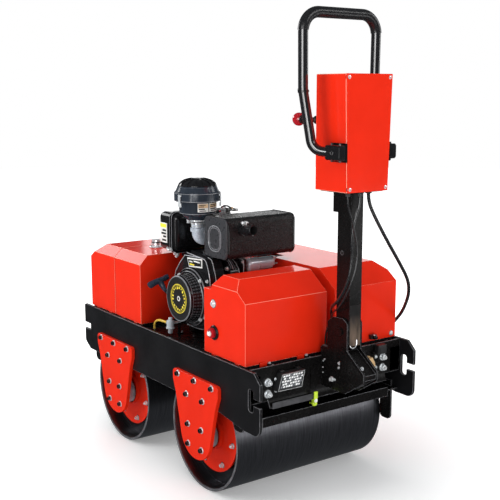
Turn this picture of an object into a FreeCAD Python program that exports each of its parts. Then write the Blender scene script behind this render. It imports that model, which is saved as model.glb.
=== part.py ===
import FreeCAD, Part
import math
import os

import Sketcher

# A walk-behind compaction roller with two vibrating drums, in millimetres. +Z is up. +Y is the way it
# travels with the handle behind it, and +X is on the right of whoever stands at the handle. The origin is
# on the ground, under the middle of the machine's length and width.

DRIVING = [
    # drums, their axles and the red plates that carry them
    ("drum_radius", 210), ("drum_half_width", 325), ("drum_wall", 10), ("drum_head_x", 262),
    ("drum_head_thick", 10), ("front_drum_y", 405), ("rear_drum_y", -195),
    ("disc_radius", 150), ("disc_face_x", 288), ("disc_thick", 8),
    ("buffer_reach", 125), ("buffer_radius", 20), ("buffer_count", 6), ("buffer_first", 30),
    ("boss_radius", 26), ("boss_gap", 2), ("shaft_radius", 16), ("shaft_end_x", 330), ("shaft_play", 0.4),
    ("hub_radius", 43), ("hub_end_x", 294), ("hub_drop", 12), ("hub_flange", 14),
    ("bracket_face_x", 362), ("bracket_top", 418), ("bracket_shoulder", 377), ("bracket_waist", 335),
    ("bracket_bottom", 119), ("bracket_half_top", 145), ("bracket_half_waist", 128),
    ("bracket_half_bottom", 76), ("bracket_nose_radius", 94), ("bracket_corner", 14),
    # frame
    ("plate_face_x", 347), ("plate_thick", 10), ("plate_top", 512), ("plate_low", 325), ("plate_lobe", 304),
    ("plate_front", 695), ("plate_rear", -558), ("lobe_start", -332), ("lobe_flat", -470),
    ("front_cut_high", 27), ("front_cut_long", 45), ("rear_cut_high", 32), ("rear_cut_long", 33),
    ("lobe_corner", 30), ("front_corner", 10), ("front_low_corner", 18),
    ("slot_low", 379), ("slot_high", 455), ("slot_near", 35), ("slot_far", 63), ("slot_corner", 11),
    ("notch_low", 403), ("notch_high", 427), ("notch_depth", 52), ("notch_run", 39),
    ("front_notch_low", 407), ("front_notch_high", 433),
    ("deck_top", 500), ("deck_thick", 10), ("cross_thick", 8), ("cross_low", 392), ("cross_drop", 2),
    ("rear_cross_y", -485), ("front_cross_y", 637),
    ("lip_low", 370), ("lip_half", 262), ("lip_out", 15), ("lip_thick", 6),
    ("scraper_half", 283), ("scraper_low", 303), ("scraper_high", 337), ("scraper_thick", 8),
    ("rear_scraper_y", -487), ("front_scraper_y", 608), ("blade_z", 318), ("blade_thick", 5),
    ("blade_gap", 7), ("hanger_x", 331), ("hanger_thick", 6), ("hanger_lap", 20), ("hanger_corner", 20),
    ("rear_hanger_far", 259), ("rear_hanger_near", 200), ("left_hanger_low", 284),
    ("right_hanger_low", 192), ("front_hanger_near", 155), ("front_hanger_far", 213),
    ("front_hanger_low", 287),
    # covers
    ("cover_half", 335), ("cover_low", 515), ("rear_cover_y", -462), ("rear_cover_top", 786),
    ("rear_cover_eave", 722), ("rear_slope_run", 88), ("side_eave", 755), ("side_slope_run", 33),
    ("rear_side_run", 38),
    ("left_cover_end", 6), ("right_cover_end", 44), ("left_cover_front", -220), ("left_cover_step", -288),
    ("step_top", 738), ("step_near", 6), ("step_far", 26), ("right_cover_front", -104),
    ("front_cover_y", 646), ("front_cover_top", 780), ("front_cover_back", 227), ("front_slope_run", 86),
    ("front_eave_drop", 10), ("cover_seam", 434), ("seam_half", 2), ("cover_sheet", 3),
    ("side_box_inner", 100), ("side_box_front", 96), ("side_box_lap", 2),
    ("foot_side", 22), ("foot_inset", 40), ("foot_lap", 14),
    ("cap_x", -182), ("cap_y", 375), ("cap_flange_radius", 29), ("cap_flange_high", 10), ("cap_radius", 20),
    ("cap_high", 26),
    # engine
    ("crank_y", 8), ("crank_z", 651), ("recoil_face_x", -300), ("shroud_face_x", -244),
    ("shroud_back_x", -178), ("recoil_disc_radius", 85), ("recoil_disc_thick", 12),
    ("recoil_body_radius", 93), ("recoil_body_deep", 48), ("recoil_ring_radius", 107),
    ("block_left", -176), ("block_right", 66), ("block_rear", -92), ("block_front", 104), ("block_top", 735),
    ("rail_overhang", 20), ("rail_wide", 40), ("rail_high", 15),
    ("barrel_radius", 54), ("barrel_x", -62), ("barrel_y", 21), ("head_half_x", 82), ("head_half_y", 57),
    ("head_low", 828), ("head_top", 902),
    ("cleaner_x", -202), ("cleaner_y", 26), ("cleaner_low", 925), ("elbow_radius", 22), ("elbow_z", 857),
    ("tank_left", -235), ("tank_right", 25), ("tank_rear", 135), ("tank_front", 251), ("tank_low", 792),
    ("tank_top", 946), ("tank_corner", 22), ("tank_leg_wide", 24), ("tank_leg_low", 770),
    ("tank_riser_low", 700), ("tank_riser_thick", 6), ("tank_leg_lap", 60),
    ("muffler_left", -215), ("muffler_right", 85), ("muffler_rear", -188), ("muffler_front", -43),
    ("muffler_low", 810), ("muffler_top", 958), ("muffler_corner", 22),
    ("stub_x", -153), ("stub_z", 911), ("stub_radius", 18), ("stub_long", 64),
    ("flange_left", -100), ("flange_right", -30), ("flange_inset", 4),
    ("starter_y", -125), ("starter_z", 777), ("starter_radius", 25), ("starter_left", -92),
    ("starter_bell", 48), ("starter_long", 116), ("starter_foot_low", 700),
    ("filter_x", -295), ("filter_y", 75),
    # fittings
    ("switch_y", -283), ("switch_z", 592), ("tap_x", -64), ("tap_z", 352),
    ("light_depth", 30), ("light_corner", 6),
    # handle
    ("post_half", 26), ("post_front", -549), ("post_rear", -614), ("post_low", 575), ("post_wall", 5),
    ("post_cap", 6), ("post_play", 0.5), ("rib_half", 20), ("rib_front", -519), ("rib_high", 76),
    ("hole_y", -573), ("hole_z", 875), ("hole_radius", 5),
    ("cheek_inner", 27), ("cheek_thick", 6), ("cheek_corner", 12),
    ("pivot_y", -578), ("pivot_z", 612), ("pivot_radius", 8), ("pin_play", 0.05), ("pin_head_radius", 13),
    ("pin_head_thick", 5),
    ("box_low", 1081), ("box_top", 1449), ("box_front", -509), ("box_rear", -657), ("box_half", 90),
    ("box_rear_half_top", 96), ("box_rear_half_low", 85), ("box_sheet", 3), ("lid_thick", 5),
    ("mount_low", 1182), ("mount_high", 1230), ("mount_out", 32), ("mount_rear", 3), ("mount_long", 65),
    ("mount_corner", 9), ("mount_grip", 0.2),
    ("loop_radius", 16), ("loop_half", 155), ("loop_y", -519), ("loop_top", 1640), ("loop_bend", 62),
    ("lever_x", -70), ("lever_z", 1304), ("knob_radius", 22), ("knob_reach", 112),
    ("gland_high", 14),
]

# how far a cut's outline reaches past the face it opens
PAST = 5

doc = FreeCAD.newDocument("compaction_roller")
sheet = doc.addObject("Spreadsheet::Sheet", "Sizes")


class Size:
    """A length from the sheet, or a sum of such lengths: its value, and the expression that binds it."""

    def __init__(self, value, text):
        self.value = value
        self.text = text

    def __add__(self, other):
        return Size(self.value + value_of(other), f"({self.text} + {text_of(other)})")

    def __radd__(self, other):
        return Size(value_of(other) + self.value, f"({text_of(other)} + {self.text})")

    def __sub__(self, other):
        return Size(self.value - value_of(other), f"({self.text} - {text_of(other)})")

    def __rsub__(self, other):
        return Size(value_of(other) - self.value, f"({text_of(other)} - {self.text})")

    def __mul__(self, other):
        return Size(self.value * value_of(other), f"({self.text} * {text_of(other)})")

    def __rmul__(self, other):
        return self * other

    def __neg__(self):
        return Size(-self.value, f"(0 - {self.text})")


def value_of(length):
    return length.value if isinstance(length, Size) else float(length)


def text_of(length):
    return length.text if isinstance(length, Size) else f"({length:.6g})"


class Sizes:
    """The sheet's cells, each under its own name."""


size = Sizes()
for row, (alias, value) in enumerate(DRIVING, start=1):
    sheet.set(f"A{row}", alias)
    sheet.set(f"B{row}", str(value))
    sheet.setAlias(f"B{row}", alias)
    setattr(size, alias, Size(value, f"Sizes.{alias}"))
doc.recompute()

nodes = {}


def keep(node, thing):
    """Makes an object a sub-part: its label is the node's name."""
    thing.Label = node
    nodes[node] = thing
    return thing


# --------------------------------------------------------------------------------------------------
# Small helpers: solids bound to the sheet
# --------------------------------------------------------------------------------------------------


def bind(thing, **expressions):
    for path, length in expressions.items():
        thing.setExpression(path.replace("__", "."), text_of(length))


def box(name, x_span, y_span, z_span):
    """An upright block between two corners."""
    block = doc.addObject("Part::Box", name)
    bind(block, Length=x_span[1] - x_span[0], Width=y_span[1] - y_span[0], Height=z_span[1] - z_span[0])
    bind(block, Placement__Base__x=x_span[0], Placement__Base__y=y_span[0], Placement__Base__z=z_span[0])
    return block


TURN = {
    "x": FreeCAD.Rotation(FreeCAD.Vector(0, 1, 0), 90),
    "y": FreeCAD.Rotation(FreeCAD.Vector(1, 0, 0), -90),
    "z": FreeCAD.Rotation(),
}


def rod(name, along, start, length, radius):
    """A cylinder from start, along the positive x, y or z."""
    cylinder = doc.addObject("Part::Cylinder", name)
    cylinder.Placement = FreeCAD.Placement(FreeCAD.Vector(), TURN[along])
    bind(cylinder, Radius=radius, Height=length)
    bind(cylinder, Placement__Base__x=start[0], Placement__Base__y=start[1], Placement__Base__z=start[2])
    return cylinder


def cone(name, along, start, length, radius_1, radius_2):
    """A cone frustum from start, along the positive x, y or z."""
    frustum = doc.addObject("Part::Cone", name)
    frustum.Placement = FreeCAD.Placement(FreeCAD.Vector(), TURN[along])
    bind(frustum, Radius1=radius_1, Radius2=radius_2, Height=length)
    bind(frustum, Placement__Base__x=start[0], Placement__Base__y=start[1], Placement__Base__z=start[2])
    return frustum


def fuse(name, parts):
    joined = doc.addObject("Part::MultiFuse", name)
    joined.Shapes = parts
    joined.Refine = True
    return joined


def cut(name, base, tool):
    rest = doc.addObject("Part::Cut", name)
    rest.Base = base
    rest.Tool = tool
    rest.Refine = True
    return rest


def soften(name, base, radius, chosen):
    """Rounds the edges of base for which chosen(edge) is true."""
    doc.recompute()
    rounded = doc.addObject("Part::Fillet", name)
    rounded.Base = base
    rounded.Edges = [
        (number, value_of(radius), value_of(radius))
        for number, edge in enumerate(base.Shape.Edges, start=1)
        if chosen(edge)
    ]
    return rounded


def along_axis(axis):
    """Chooses the straight edges that run along x, y or z."""
    index = "xyz".index(axis)

    def chosen(edge):
        if not isinstance(edge.Curve, Part.Line):
            return False
        return abs(abs(edge.Curve.Direction[index]) - 1) < 1e-6

    return chosen


PLANES = {"x": "YZ_Plane", "y": "XZ_Plane", "z": "XY_Plane"}


def new_body(node):
    body = doc.addObject("PartDesign::Body", node)
    return keep(node, body)


def new_sketch(body, normal, offset):
    """A sketch on the body's own plane across x, y or z, moved to offset along that axis."""
    sketch = body.newObject("Sketcher::SketchObject", f"{body.Name}_sketch")
    plane = next(part for part in body.Origin.OriginFeatures if part.Role == PLANES[normal])
    sketch.AttachmentSupport = (plane, [""])
    sketch.MapMode = "FlatFace"
    bind(sketch, AttachmentOffset__Base__z=-offset if normal == "y" else offset)
    return sketch


def hold(sketch, kind, geometry, point, length):
    """Fixes one coordinate of a point of the sketch at a bound length."""
    index = sketch.addConstraint(Sketcher.Constraint(kind, geometry, point, value_of(length)))
    if isinstance(length, Size):
        sketch.setExpression(f"Constraints[{index}]", length.text)


def draw_outline(sketch, points):
    """A closed outline of straight sides through the points, each held at its two bound coordinates."""
    first = sketch.GeometryCount
    flat = [FreeCAD.Vector(value_of(u), value_of(v), 0) for u, v in points]
    count = len(points)
    for index in range(count):
        sketch.addGeometry(Part.LineSegment(flat[index], flat[(index + 1) % count]), False)
    for index in range(count):
        following = first + (index + 1) % count
        sketch.addConstraint(Sketcher.Constraint("Coincident", first + index, 2, following, 1))
    for index, (u, v) in enumerate(points):
        hold(sketch, "DistanceX", first + index, 1, u)
        hold(sketch, "DistanceY", first + index, 1, v)


def draw_circle(sketch, centre, radius):
    middle = FreeCAD.Vector(value_of(centre[0]), value_of(centre[1]), 0)
    index = sketch.addGeometry(Part.Circle(middle, FreeCAD.Vector(0, 0, 1), value_of(radius)), False)
    hold(sketch, "DistanceX", index, 3, centre[0])
    hold(sketch, "DistanceY", index, 3, centre[1])
    limit = sketch.addConstraint(Sketcher.Constraint("Radius", index, value_of(radius)))
    if isinstance(radius, Size):
        sketch.setExpression(f"Constraints[{limit}]", radius.text)


def pad(body, normal, offset, length, outline=None, circles=()):
    """A plate: an outline on the plane at offset, thickened along its normal (towards -y across y)."""
    sketch = new_sketch(body, normal, offset)
    if outline:
        draw_outline(sketch, outline)
    for centre, radius in circles:
        draw_circle(sketch, centre, radius)
    feature = body.newObject("PartDesign::Pad", f"{body.Name}_pad")
    feature.Profile = sketch
    bind(feature, Length=length)
    return feature


def pocket(body, normal, offset, length, outline=None, circles=()):
    """A cut: an outline on the plane at offset, cut along the side that a pad of that plane would grow to."""
    sketch = new_sketch(body, normal, offset)
    if outline:
        draw_outline(sketch, outline)
    for centre, radius in circles:
        draw_circle(sketch, centre, radius)
    doc.recompute()
    before = body.Shape.Volume
    feature = body.newObject("PartDesign::Pocket", f"{body.Name}_pocket")
    feature.Profile = sketch
    feature.Reversed = True
    bind(feature, Length=length)
    doc.recompute()
    if body.Shape.Volume > before - 1:
        raise RuntimeError(f"a pocket of {body.Label} cuts nothing")
    return feature


def round_corners(body, feature, radius, chosen):
    """A fillet on the edges of the body's last feature that chosen picks."""
    doc.recompute()
    names = [f"Edge{n}" for n, edge in enumerate(feature.Shape.Edges, start=1) if chosen(edge)]
    if not names:
        raise RuntimeError(f"no edge to round on {body.Label}")
    fillet = body.newObject("PartDesign::Fillet", f"{body.Name}_fillet")
    fillet.Base = (feature, names)
    bind(fillet, Radius=radius)
    return fillet


def corner_at(axis, *places):
    """Chooses the edges along an axis that stand at one of the places, given in the other two coordinates."""
    index = "xyz".index(axis)
    others = [n for n in range(3) if n != index]
    spots = [(value_of(a), value_of(b)) for a, b in places]

    def chosen(edge):
        if not along_axis(axis)(edge):
            return False
        middle = edge.CenterOfMass
        return any(math.dist(spot, (middle[others[0]], middle[others[1]])) < 0.5 for spot in spots)

    return chosen


# --------------------------------------------------------------------------------------------------
# Frame
# --------------------------------------------------------------------------------------------------


def side_plate(node, inner_x):
    """A side plate of the frame, seen from its side, with a tie-down slot behind and a notch in front."""
    body = new_body(node)
    s = size
    plate = pad(body, "x", inner_x, s.plate_thick, [
        (s.plate_front, s.plate_top),
        (s.plate_front, s.plate_low + s.front_cut_high),
        (s.plate_front - s.front_cut_long, s.plate_low),
        (s.lobe_start, s.plate_low),
        (s.lobe_flat, s.plate_lobe),
        (s.plate_rear, s.plate_lobe),
        (s.plate_rear, s.plate_top - s.rear_cut_high),
        (s.plate_rear + s.rear_cut_long, s.plate_top),
    ])
    front_low = (s.plate_front, s.plate_low + s.front_cut_high)
    plate = round_corners(body, plate, s.lobe_corner, corner_at("x", (s.plate_rear, s.plate_lobe)))
    plate = round_corners(body, plate, s.front_corner, corner_at("x", (s.plate_front, s.plate_top)))
    plate = round_corners(body, plate, s.front_low_corner, corner_at("x", front_low))
    upright = [
        (s.plate_rear + s.slot_near, s.slot_low),
        (s.plate_rear + s.slot_far, s.slot_low),
        (s.plate_rear + s.slot_far, s.slot_high),
        (s.plate_rear + s.slot_near, s.slot_high),
    ]
    slot = pocket(body, "x", inner_x, s.plate_thick, upright)
    slot = round_corners(body, slot, s.slot_corner, corner_at("x", *upright))
    pocket(body, "x", inner_x, s.plate_thick, [
        (s.plate_rear - PAST, s.notch_low),
        (s.plate_rear + s.notch_run, s.notch_low),
        (s.plate_rear + s.notch_run, s.notch_high),
        (s.plate_rear - PAST, s.notch_high),
    ])
    pocket(body, "x", inner_x, s.plate_thick, [
        (s.plate_front + PAST, s.front_notch_low),
        (s.plate_front + PAST, s.front_notch_high),
        (s.plate_front - s.notch_depth, s.front_notch_high),
        (s.plate_front - s.notch_depth, s.front_notch_low),
    ])


side_plate("left_side_plate", -size.plate_face_x)
side_plate("right_side_plate", size.plate_face_x - size.plate_thick)

plate_inner = size.plate_face_x - size.plate_thick

deck = new_body("deck_plate")
pad(deck, "z", size.deck_top - size.deck_thick, size.deck_thick, [
    (-plate_inner, size.rear_cross_y + size.cross_thick),
    (plate_inner, size.rear_cross_y + size.cross_thick),
    (plate_inner, size.front_cross_y - size.cross_thick),
    (-plate_inner, size.front_cross_y - size.cross_thick),
])

rear_cross = new_body("rear_cross_plate")
pad(rear_cross, "y", size.rear_cross_y + size.cross_thick, size.cross_thick, [
    (-plate_inner, size.cross_low),
    (plate_inner, size.cross_low),
    (plate_inner, size.plate_top - size.cross_drop),
    (-plate_inner, size.plate_top - size.cross_drop),
])
pad(rear_cross, "x", -size.lip_half, size.lip_half * 2, [
    (size.rear_cross_y, size.cross_low + size.lip_thick),
    (size.rear_cross_y - size.lip_out, size.lip_low),
    (size.rear_cross_y - size.lip_out + size.lip_thick, size.lip_low),
    (size.rear_cross_y + size.cross_thick, size.cross_low),
    (size.rear_cross_y + size.cross_thick, size.cross_low + size.lip_thick),
])

front_cross = new_body("front_cross_plate")
pad(front_cross, "y", size.front_cross_y, size.cross_thick, [
    (-plate_inner, size.cross_low),
    (plate_inner, size.cross_low),
    (plate_inner, size.plate_top - size.cross_drop),
    (-plate_inner, size.plate_top - size.cross_drop),
])


def scraper(node, bar_y, blade_from, blade_to, hanger_span, left_low, right_low):
    """A scraper: an upright bar, a blade close to the drum, and two hangers bolted in the side plates."""
    s = size
    outer = s.hanger_x + s.hanger_thick
    parts = [
        box(f"{node}_bar", (-s.scraper_half, s.scraper_half), bar_y, (s.scraper_low, s.scraper_high)),
        box(f"{node}_blade", (-outer, outer), (blade_from, blade_to),
            (s.blade_z, s.blade_z + s.blade_thick)),
    ]
    for side, start, low in (("left", -outer, left_low), ("right", s.hanger_x, right_low)):
        plate = box(f"{node}_{side}_hanger", (start, start + s.hanger_thick), hanger_span,
                    (low, s.plate_low + s.hanger_lap))
        low_corners = corner_at("x", (hanger_span[0], low), (hanger_span[1], low))
        parts.append(soften(f"{node}_{side}_rounded", plate, s.hanger_corner, low_corners))
    keep(node, fuse(node, parts))


# where the drum's surface is at the height of the blade
blade_reach = Size(
    math.sqrt(size.drum_radius.value ** 2 - (size.blade_z.value - size.drum_radius.value) ** 2),
    "sqrt(Sizes.drum_radius ^ 2 - (Sizes.blade_z - Sizes.drum_radius) ^ 2)",
)
rear_blade_tip = size.rear_drum_y - blade_reach - size.blade_gap
front_blade_tip = size.front_drum_y + blade_reach + size.blade_gap
scraper(
    "rear_scraper",
    (size.rear_scraper_y, size.rear_scraper_y + size.scraper_thick),
    size.rear_scraper_y + size.scraper_thick, rear_blade_tip,
    (size.rear_drum_y - size.rear_hanger_far, size.rear_drum_y - size.rear_hanger_near),
    size.left_hanger_low, size.right_hanger_low,
)
scraper(
    "front_scraper",
    (size.front_scraper_y - size.scraper_thick, size.front_scraper_y),
    front_blade_tip, size.front_scraper_y - size.scraper_thick,
    (size.front_drum_y + size.front_hanger_near, size.front_drum_y + size.front_hanger_far),
    size.front_hanger_low, size.front_hanger_low,
)

# --------------------------------------------------------------------------------------------------
# Drums, their brackets and hubs
# --------------------------------------------------------------------------------------------------

SIDES = [("left", -1), ("right", 1)]
DRUMS = [("front", size.front_drum_y), ("rear", size.rear_drum_y)]


def drum_bracket(node, sign, middle):
    """The red plate that carries one end of a drum outside the frame, with shoulders and a round nose."""
    body = new_body(node)
    s = size
    start = s.plate_face_x if sign > 0 else -s.bracket_face_x
    right_half = [
        (s.bracket_half_bottom, s.bracket_bottom),
        (s.bracket_half_waist, s.bracket_waist),
        (s.bracket_half_top, s.bracket_shoulder),
        (s.bracket_half_top, s.bracket_top),
    ]
    outline = [(middle + y, z) for y, z in right_half] + [(middle - y, z) for y, z in reversed(right_half)]
    plate = pad(body, "x", start, s.bracket_face_x - s.plate_face_x, outline)
    nose = corner_at("x", outline[0], outline[-1])
    plate = round_corners(body, plate, s.bracket_nose_radius, nose)
    round_corners(body, plate, s.bracket_corner, corner_at("x", outline[3], outline[4]))


def hub_motor(node, sign, middle):
    """The drive hub between a bracket and the drum's disc, bored for the shaft, a little below the axis."""
    s = size
    length = s.plate_face_x - s.hub_end_x
    start = s.hub_end_x if sign > 0 else -s.plate_face_x
    flange_x = s.plate_face_x - s.hub_flange if sign > 0 else -s.plate_face_x
    centre = s.drum_radius - s.hub_drop
    barrel = rod(f"{node}_barrel", "x", (start, middle, centre), length, s.hub_radius)
    flange = rod(f"{node}_flange", "x", (flange_x, middle, centre), s.hub_flange,
                 s.hub_radius + s.hub_flange)
    bore_start = s.hub_end_x - PAST if sign > 0 else -s.shaft_end_x - PAST
    bore = rod(f"{node}_bore", "x", (bore_start, middle, s.drum_radius),
               s.shaft_end_x - s.hub_end_x + PAST * 2, s.shaft_radius + s.shaft_play)
    keep(node, cut(node, fuse(f"{node}_solid", [barrel, flange]), bore))


def drum_shell(node, middle):
    s = size
    body = new_body(node)
    centre = (middle, s.drum_radius)
    bore = s.drum_radius - s.drum_wall
    recess = s.drum_half_width - s.drum_head_x
    pad(body, "x", -s.drum_half_width, s.drum_half_width * 2, circles=[(centre, s.drum_radius)])
    pocket(body, "x", s.drum_head_x, recess, circles=[(centre, bore)])
    pocket(body, "x", -s.drum_half_width, recess, circles=[(centre, bore)])
    inner = s.drum_head_x - s.drum_head_thick
    hollow = rod(f"{node}_hollow", "x", (-inner, middle, s.drum_radius), inner * 2, bore)
    del nodes[node]
    body.Label = f"{node}_outer"
    keep(node, cut(node, body, hollow))


def drive_disc(node, sign, middle):
    """The red disc on rubber buffers outside the drum's head, with the shaft that turns in the hub."""
    s = size
    centre = s.drum_radius
    disc_start = s.disc_face_x - s.disc_thick if sign > 0 else -s.disc_face_x
    parts = [rod(f"{node}_plate", "x", (disc_start, middle, centre), s.disc_thick, s.disc_radius)]
    boss_start = s.disc_face_x if sign > 0 else -s.hub_end_x + s.boss_gap
    boss_long = s.hub_end_x - s.disc_face_x - s.boss_gap
    parts.append(rod(f"{node}_boss", "x", (boss_start, middle, centre), boss_long, s.boss_radius))
    shaft_start = s.disc_face_x if sign > 0 else -s.shaft_end_x
    parts.append(rod(f"{node}_shaft", "x", (shaft_start, middle, centre), s.shaft_end_x - s.disc_face_x,
                     s.shaft_radius))
    buffer_start = s.drum_head_x if sign > 0 else -s.disc_face_x + s.disc_thick
    reach = s.disc_face_x - s.disc_thick - s.drum_head_x
    count = int(s.buffer_count.value)
    for step in range(count):
        turn = math.radians(360 / count * step + s.buffer_first.value)
        spot = (middle + s.buffer_reach * math.cos(turn), centre + s.buffer_reach * math.sin(turn))
        parts.append(rod(f"{node}_buffer", "x", (buffer_start, *spot), reach, s.buffer_radius))
    keep(node, fuse(node, parts))


for end, drum_y in DRUMS:
    drum_shell(f"{end}_drum", drum_y)
    for side, sign in SIDES:
        drum_bracket(f"{end}_{side}_drum_bracket", sign, drum_y)
        hub_motor(f"{end}_{side}_hub_motor", sign, drum_y)
        drive_disc(f"{end}_{side}_drive_disc", sign, drum_y)

# --------------------------------------------------------------------------------------------------
# Covers: sheet-metal hoods with sloped eaves, open below
# --------------------------------------------------------------------------------------------------


def hood(node, x_span, profile, inner_profile, sloped_sides, run, eave, top, extra=()):
    """A hood: its side profile across its width, its outer ends sloped, hollow under the sheet, on four feet.

    profile and inner_profile are its outlines in y and z. sloped_sides are the ends, -1 or 1, that slope
    inwards by run between eave and top. extra holds more sheet shapes that belong to it.
    """
    s = size
    width = x_span[1] - x_span[0]
    solid = doc.addObject("PartDesign::Body", f"{node}_solid")
    pad(solid, "x", x_span[0], width, profile)
    y_low = min(value_of(y) for y, _ in profile) - PAST
    y_high = max(value_of(y) for y, _ in profile) + PAST
    for sign in sloped_sides:
        edge = x_span[1] if sign > 0 else x_span[0]
        pocket(solid, "y", y_high, y_high - y_low, [
            (edge + sign * PAST, eave),
            (edge, eave),
            (edge - sign * run, top),
            (edge - sign * run, top + PAST),
            (edge + sign * PAST, top + PAST),
        ])
    hollow = doc.addObject("PartDesign::Body", f"{node}_hollow")
    pad(hollow, "x", x_span[0] + s.cover_sheet, width - s.cover_sheet * 2, inner_profile)
    for sign in sloped_sides:
        edge = x_span[1] - s.cover_sheet if sign > 0 else x_span[0] + s.cover_sheet
        pocket(hollow, "y", y_high, y_high - y_low, [
            (edge + sign * PAST, eave - 1),
            (edge, eave - 1),
            (edge - sign * run, top - s.cover_sheet - 1),
            (edge - sign * run, top + PAST),
            (edge + sign * PAST, top + PAST),
        ])
    parts = [cut(f"{node}_shell", solid, hollow), *extra]
    foot = s.foot_side
    for x_from in (x_span[0] + s.cover_sheet - 1, x_span[1] - s.cover_sheet + 1 - foot):
        for y_from in (profile[0][0] + s.foot_inset, profile[-1][0] - s.foot_inset - foot):
            parts.append(box(f"{node}_foot", (x_from, x_from + foot), (y_from, y_from + foot),
                             (s.deck_top, s.cover_low + s.foot_lap)))
    keep(node, fuse(node, parts))


# how far a sloped sheet's inner corner moves for each millimetre of its thickness
SLOPE_SHARE = 0.4


def rear_profile(front, sheet_in):
    """A rear hood's side outline: upright behind, a long slope to its top, and upright in front."""
    s = size
    return [
        (s.rear_cover_y + sheet_in, s.cover_low - (PAST if sheet_in else 0)),
        (s.rear_cover_y + sheet_in, s.rear_cover_eave - sheet_in * SLOPE_SHARE),
        (s.rear_cover_y + s.rear_slope_run + sheet_in * SLOPE_SHARE, s.rear_cover_top - sheet_in),
        (front - sheet_in, s.rear_cover_top - sheet_in),
        (front - sheet_in, s.cover_low - (PAST if sheet_in else 0)),
    ]


def left_profile(sheet_in):
    """The rear left hood's side outline, with a lower step next to the engine."""
    s = size
    outline = rear_profile(s.left_cover_front, sheet_in)
    step = [
        (s.left_cover_step + s.step_near - sheet_in, s.rear_cover_top - sheet_in),
        (s.left_cover_step + s.step_far - sheet_in, s.step_top - sheet_in),
        (s.left_cover_front - sheet_in, s.step_top - sheet_in),
    ]
    return outline[:3] + step + outline[4:]


def front_profile(sheet_in):
    """The front hood's side outline, upright against the seam and sloped in front."""
    s = size
    low = s.cover_low - (PAST if sheet_in else 0)
    return [
        (s.cover_seam + s.seam_half + sheet_in, low),
        (s.cover_seam + s.seam_half + sheet_in, s.front_cover_top - sheet_in),
        (s.front_cover_y - s.front_slope_run - sheet_in * SLOPE_SHARE, s.front_cover_top - sheet_in),
        (s.front_cover_y - sheet_in, s.rear_cover_eave - sheet_in * SLOPE_SHARE),
        (s.front_cover_y - sheet_in, low),
    ]


def water_profile(sheet_in):
    """The water tank's side outline, between the engine and the seam."""
    s = size
    low = s.cover_low - (PAST if sheet_in else 0)
    return [
        (s.front_cover_back + sheet_in, low),
        (s.front_cover_back + sheet_in, s.front_cover_top - sheet_in),
        (s.cover_seam - s.seam_half - sheet_in, s.front_cover_top - sheet_in),
        (s.cover_seam - s.seam_half - sheet_in, low),
    ]


def side_box():
    """The box that carries the rear right hood forward past the engine, open below and towards the engine."""
    s = size
    wall_front = s.right_cover_front
    shapes = []
    for inset, y_from, y_to in ((0, wall_front - s.side_box_lap, s.side_box_front),
                                (s.cover_sheet, wall_front, s.side_box_front - s.cover_sheet)):
        body = doc.addObject("PartDesign::Body", f"side_box_{'hollow' if inset else 'solid'}")
        past = PAST if inset else 0
        pad(body, "y", y_to, y_to - y_from, [
            (s.side_box_inner - past, s.cover_low - past),
            (s.side_box_inner - past, s.rear_cover_top - inset),
            (s.cover_half - s.rear_side_run - inset * SLOPE_SHARE, s.rear_cover_top - inset),
            (s.cover_half - inset, s.side_eave - inset * SLOPE_SHARE),
            (s.cover_half - inset, s.cover_low - past),
        ])
        shapes.append(body)
    foot_right = s.cover_half - s.cover_sheet + 1
    foot_front = s.side_box_front - s.foot_inset
    foot = box("side_box_foot", (foot_right - s.foot_side, foot_right),
               (foot_front - s.foot_side, foot_front), (s.deck_top, s.cover_low + s.foot_lap))
    return [cut("side_box_shell", *shapes), foot]


sheet_metal = size.cover_sheet
wide = (-size.cover_half, size.cover_half)
hood("rear_left_cover", (-size.cover_half, size.left_cover_end), left_profile(0), left_profile(sheet_metal),
     [-1], size.rear_side_run, size.side_eave, size.rear_cover_top)
hood("rear_right_cover", (size.right_cover_end, size.cover_half), rear_profile(size.right_cover_front, 0),
     rear_profile(size.right_cover_front, sheet_metal), [1], size.rear_side_run, size.side_eave,
     size.rear_cover_top, side_box())
hood("front_cover", wide, front_profile(0), front_profile(sheet_metal), [-1, 1], size.side_slope_run,
     size.side_eave - size.front_eave_drop, size.front_cover_top)
hood("water_tank", wide, water_profile(0), water_profile(sheet_metal), [-1, 1], size.side_slope_run,
     size.side_eave - size.front_eave_drop, size.front_cover_top)

s = size
cap_base = rod("cap_base", "z", (s.cap_x, s.cap_y, s.front_cover_top), s.cap_flange_high, s.cap_flange_radius)
cap_top = rod("cap_top", "z", (s.cap_x, s.cap_y, s.front_cover_top + s.cap_flange_high), s.cap_high,
              s.cap_radius)
keep("water_cap", fuse("water_cap", [cap_base, cap_top]))

# --------------------------------------------------------------------------------------------------
# Engine: a single-cylinder air-cooled diesel, its crankshaft across the machine and its recoil starter on
# the left
# --------------------------------------------------------------------------------------------------

rail_span = (s.block_left - s.rail_overhang, s.block_right + s.rail_overhang)
rail_level = (s.deck_top, s.deck_top + s.rail_high)
rails = [
    box("mount_rail_rear", rail_span, (s.block_rear, s.block_rear + s.rail_wide), rail_level),
    box("mount_rail_front", rail_span, (s.block_front - s.rail_wide, s.block_front), rail_level),
]
crankcase = box("crankcase", (s.block_left, s.block_right), (s.block_rear, s.block_front),
                (s.deck_top + s.rail_high, s.block_top))
barrel = rod("barrel", "z", (s.barrel_x, s.barrel_y, s.block_top), s.head_low - s.block_top, s.barrel_radius)
head = box("head", (s.barrel_x - s.head_half_x, s.barrel_x + s.head_half_x),
           (s.barrel_y - s.head_half_y, s.barrel_y + s.head_half_y), (s.head_low, s.head_top))
keep("engine_block", fuse("engine_block", [*rails, crankcase, barrel, head]))

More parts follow.
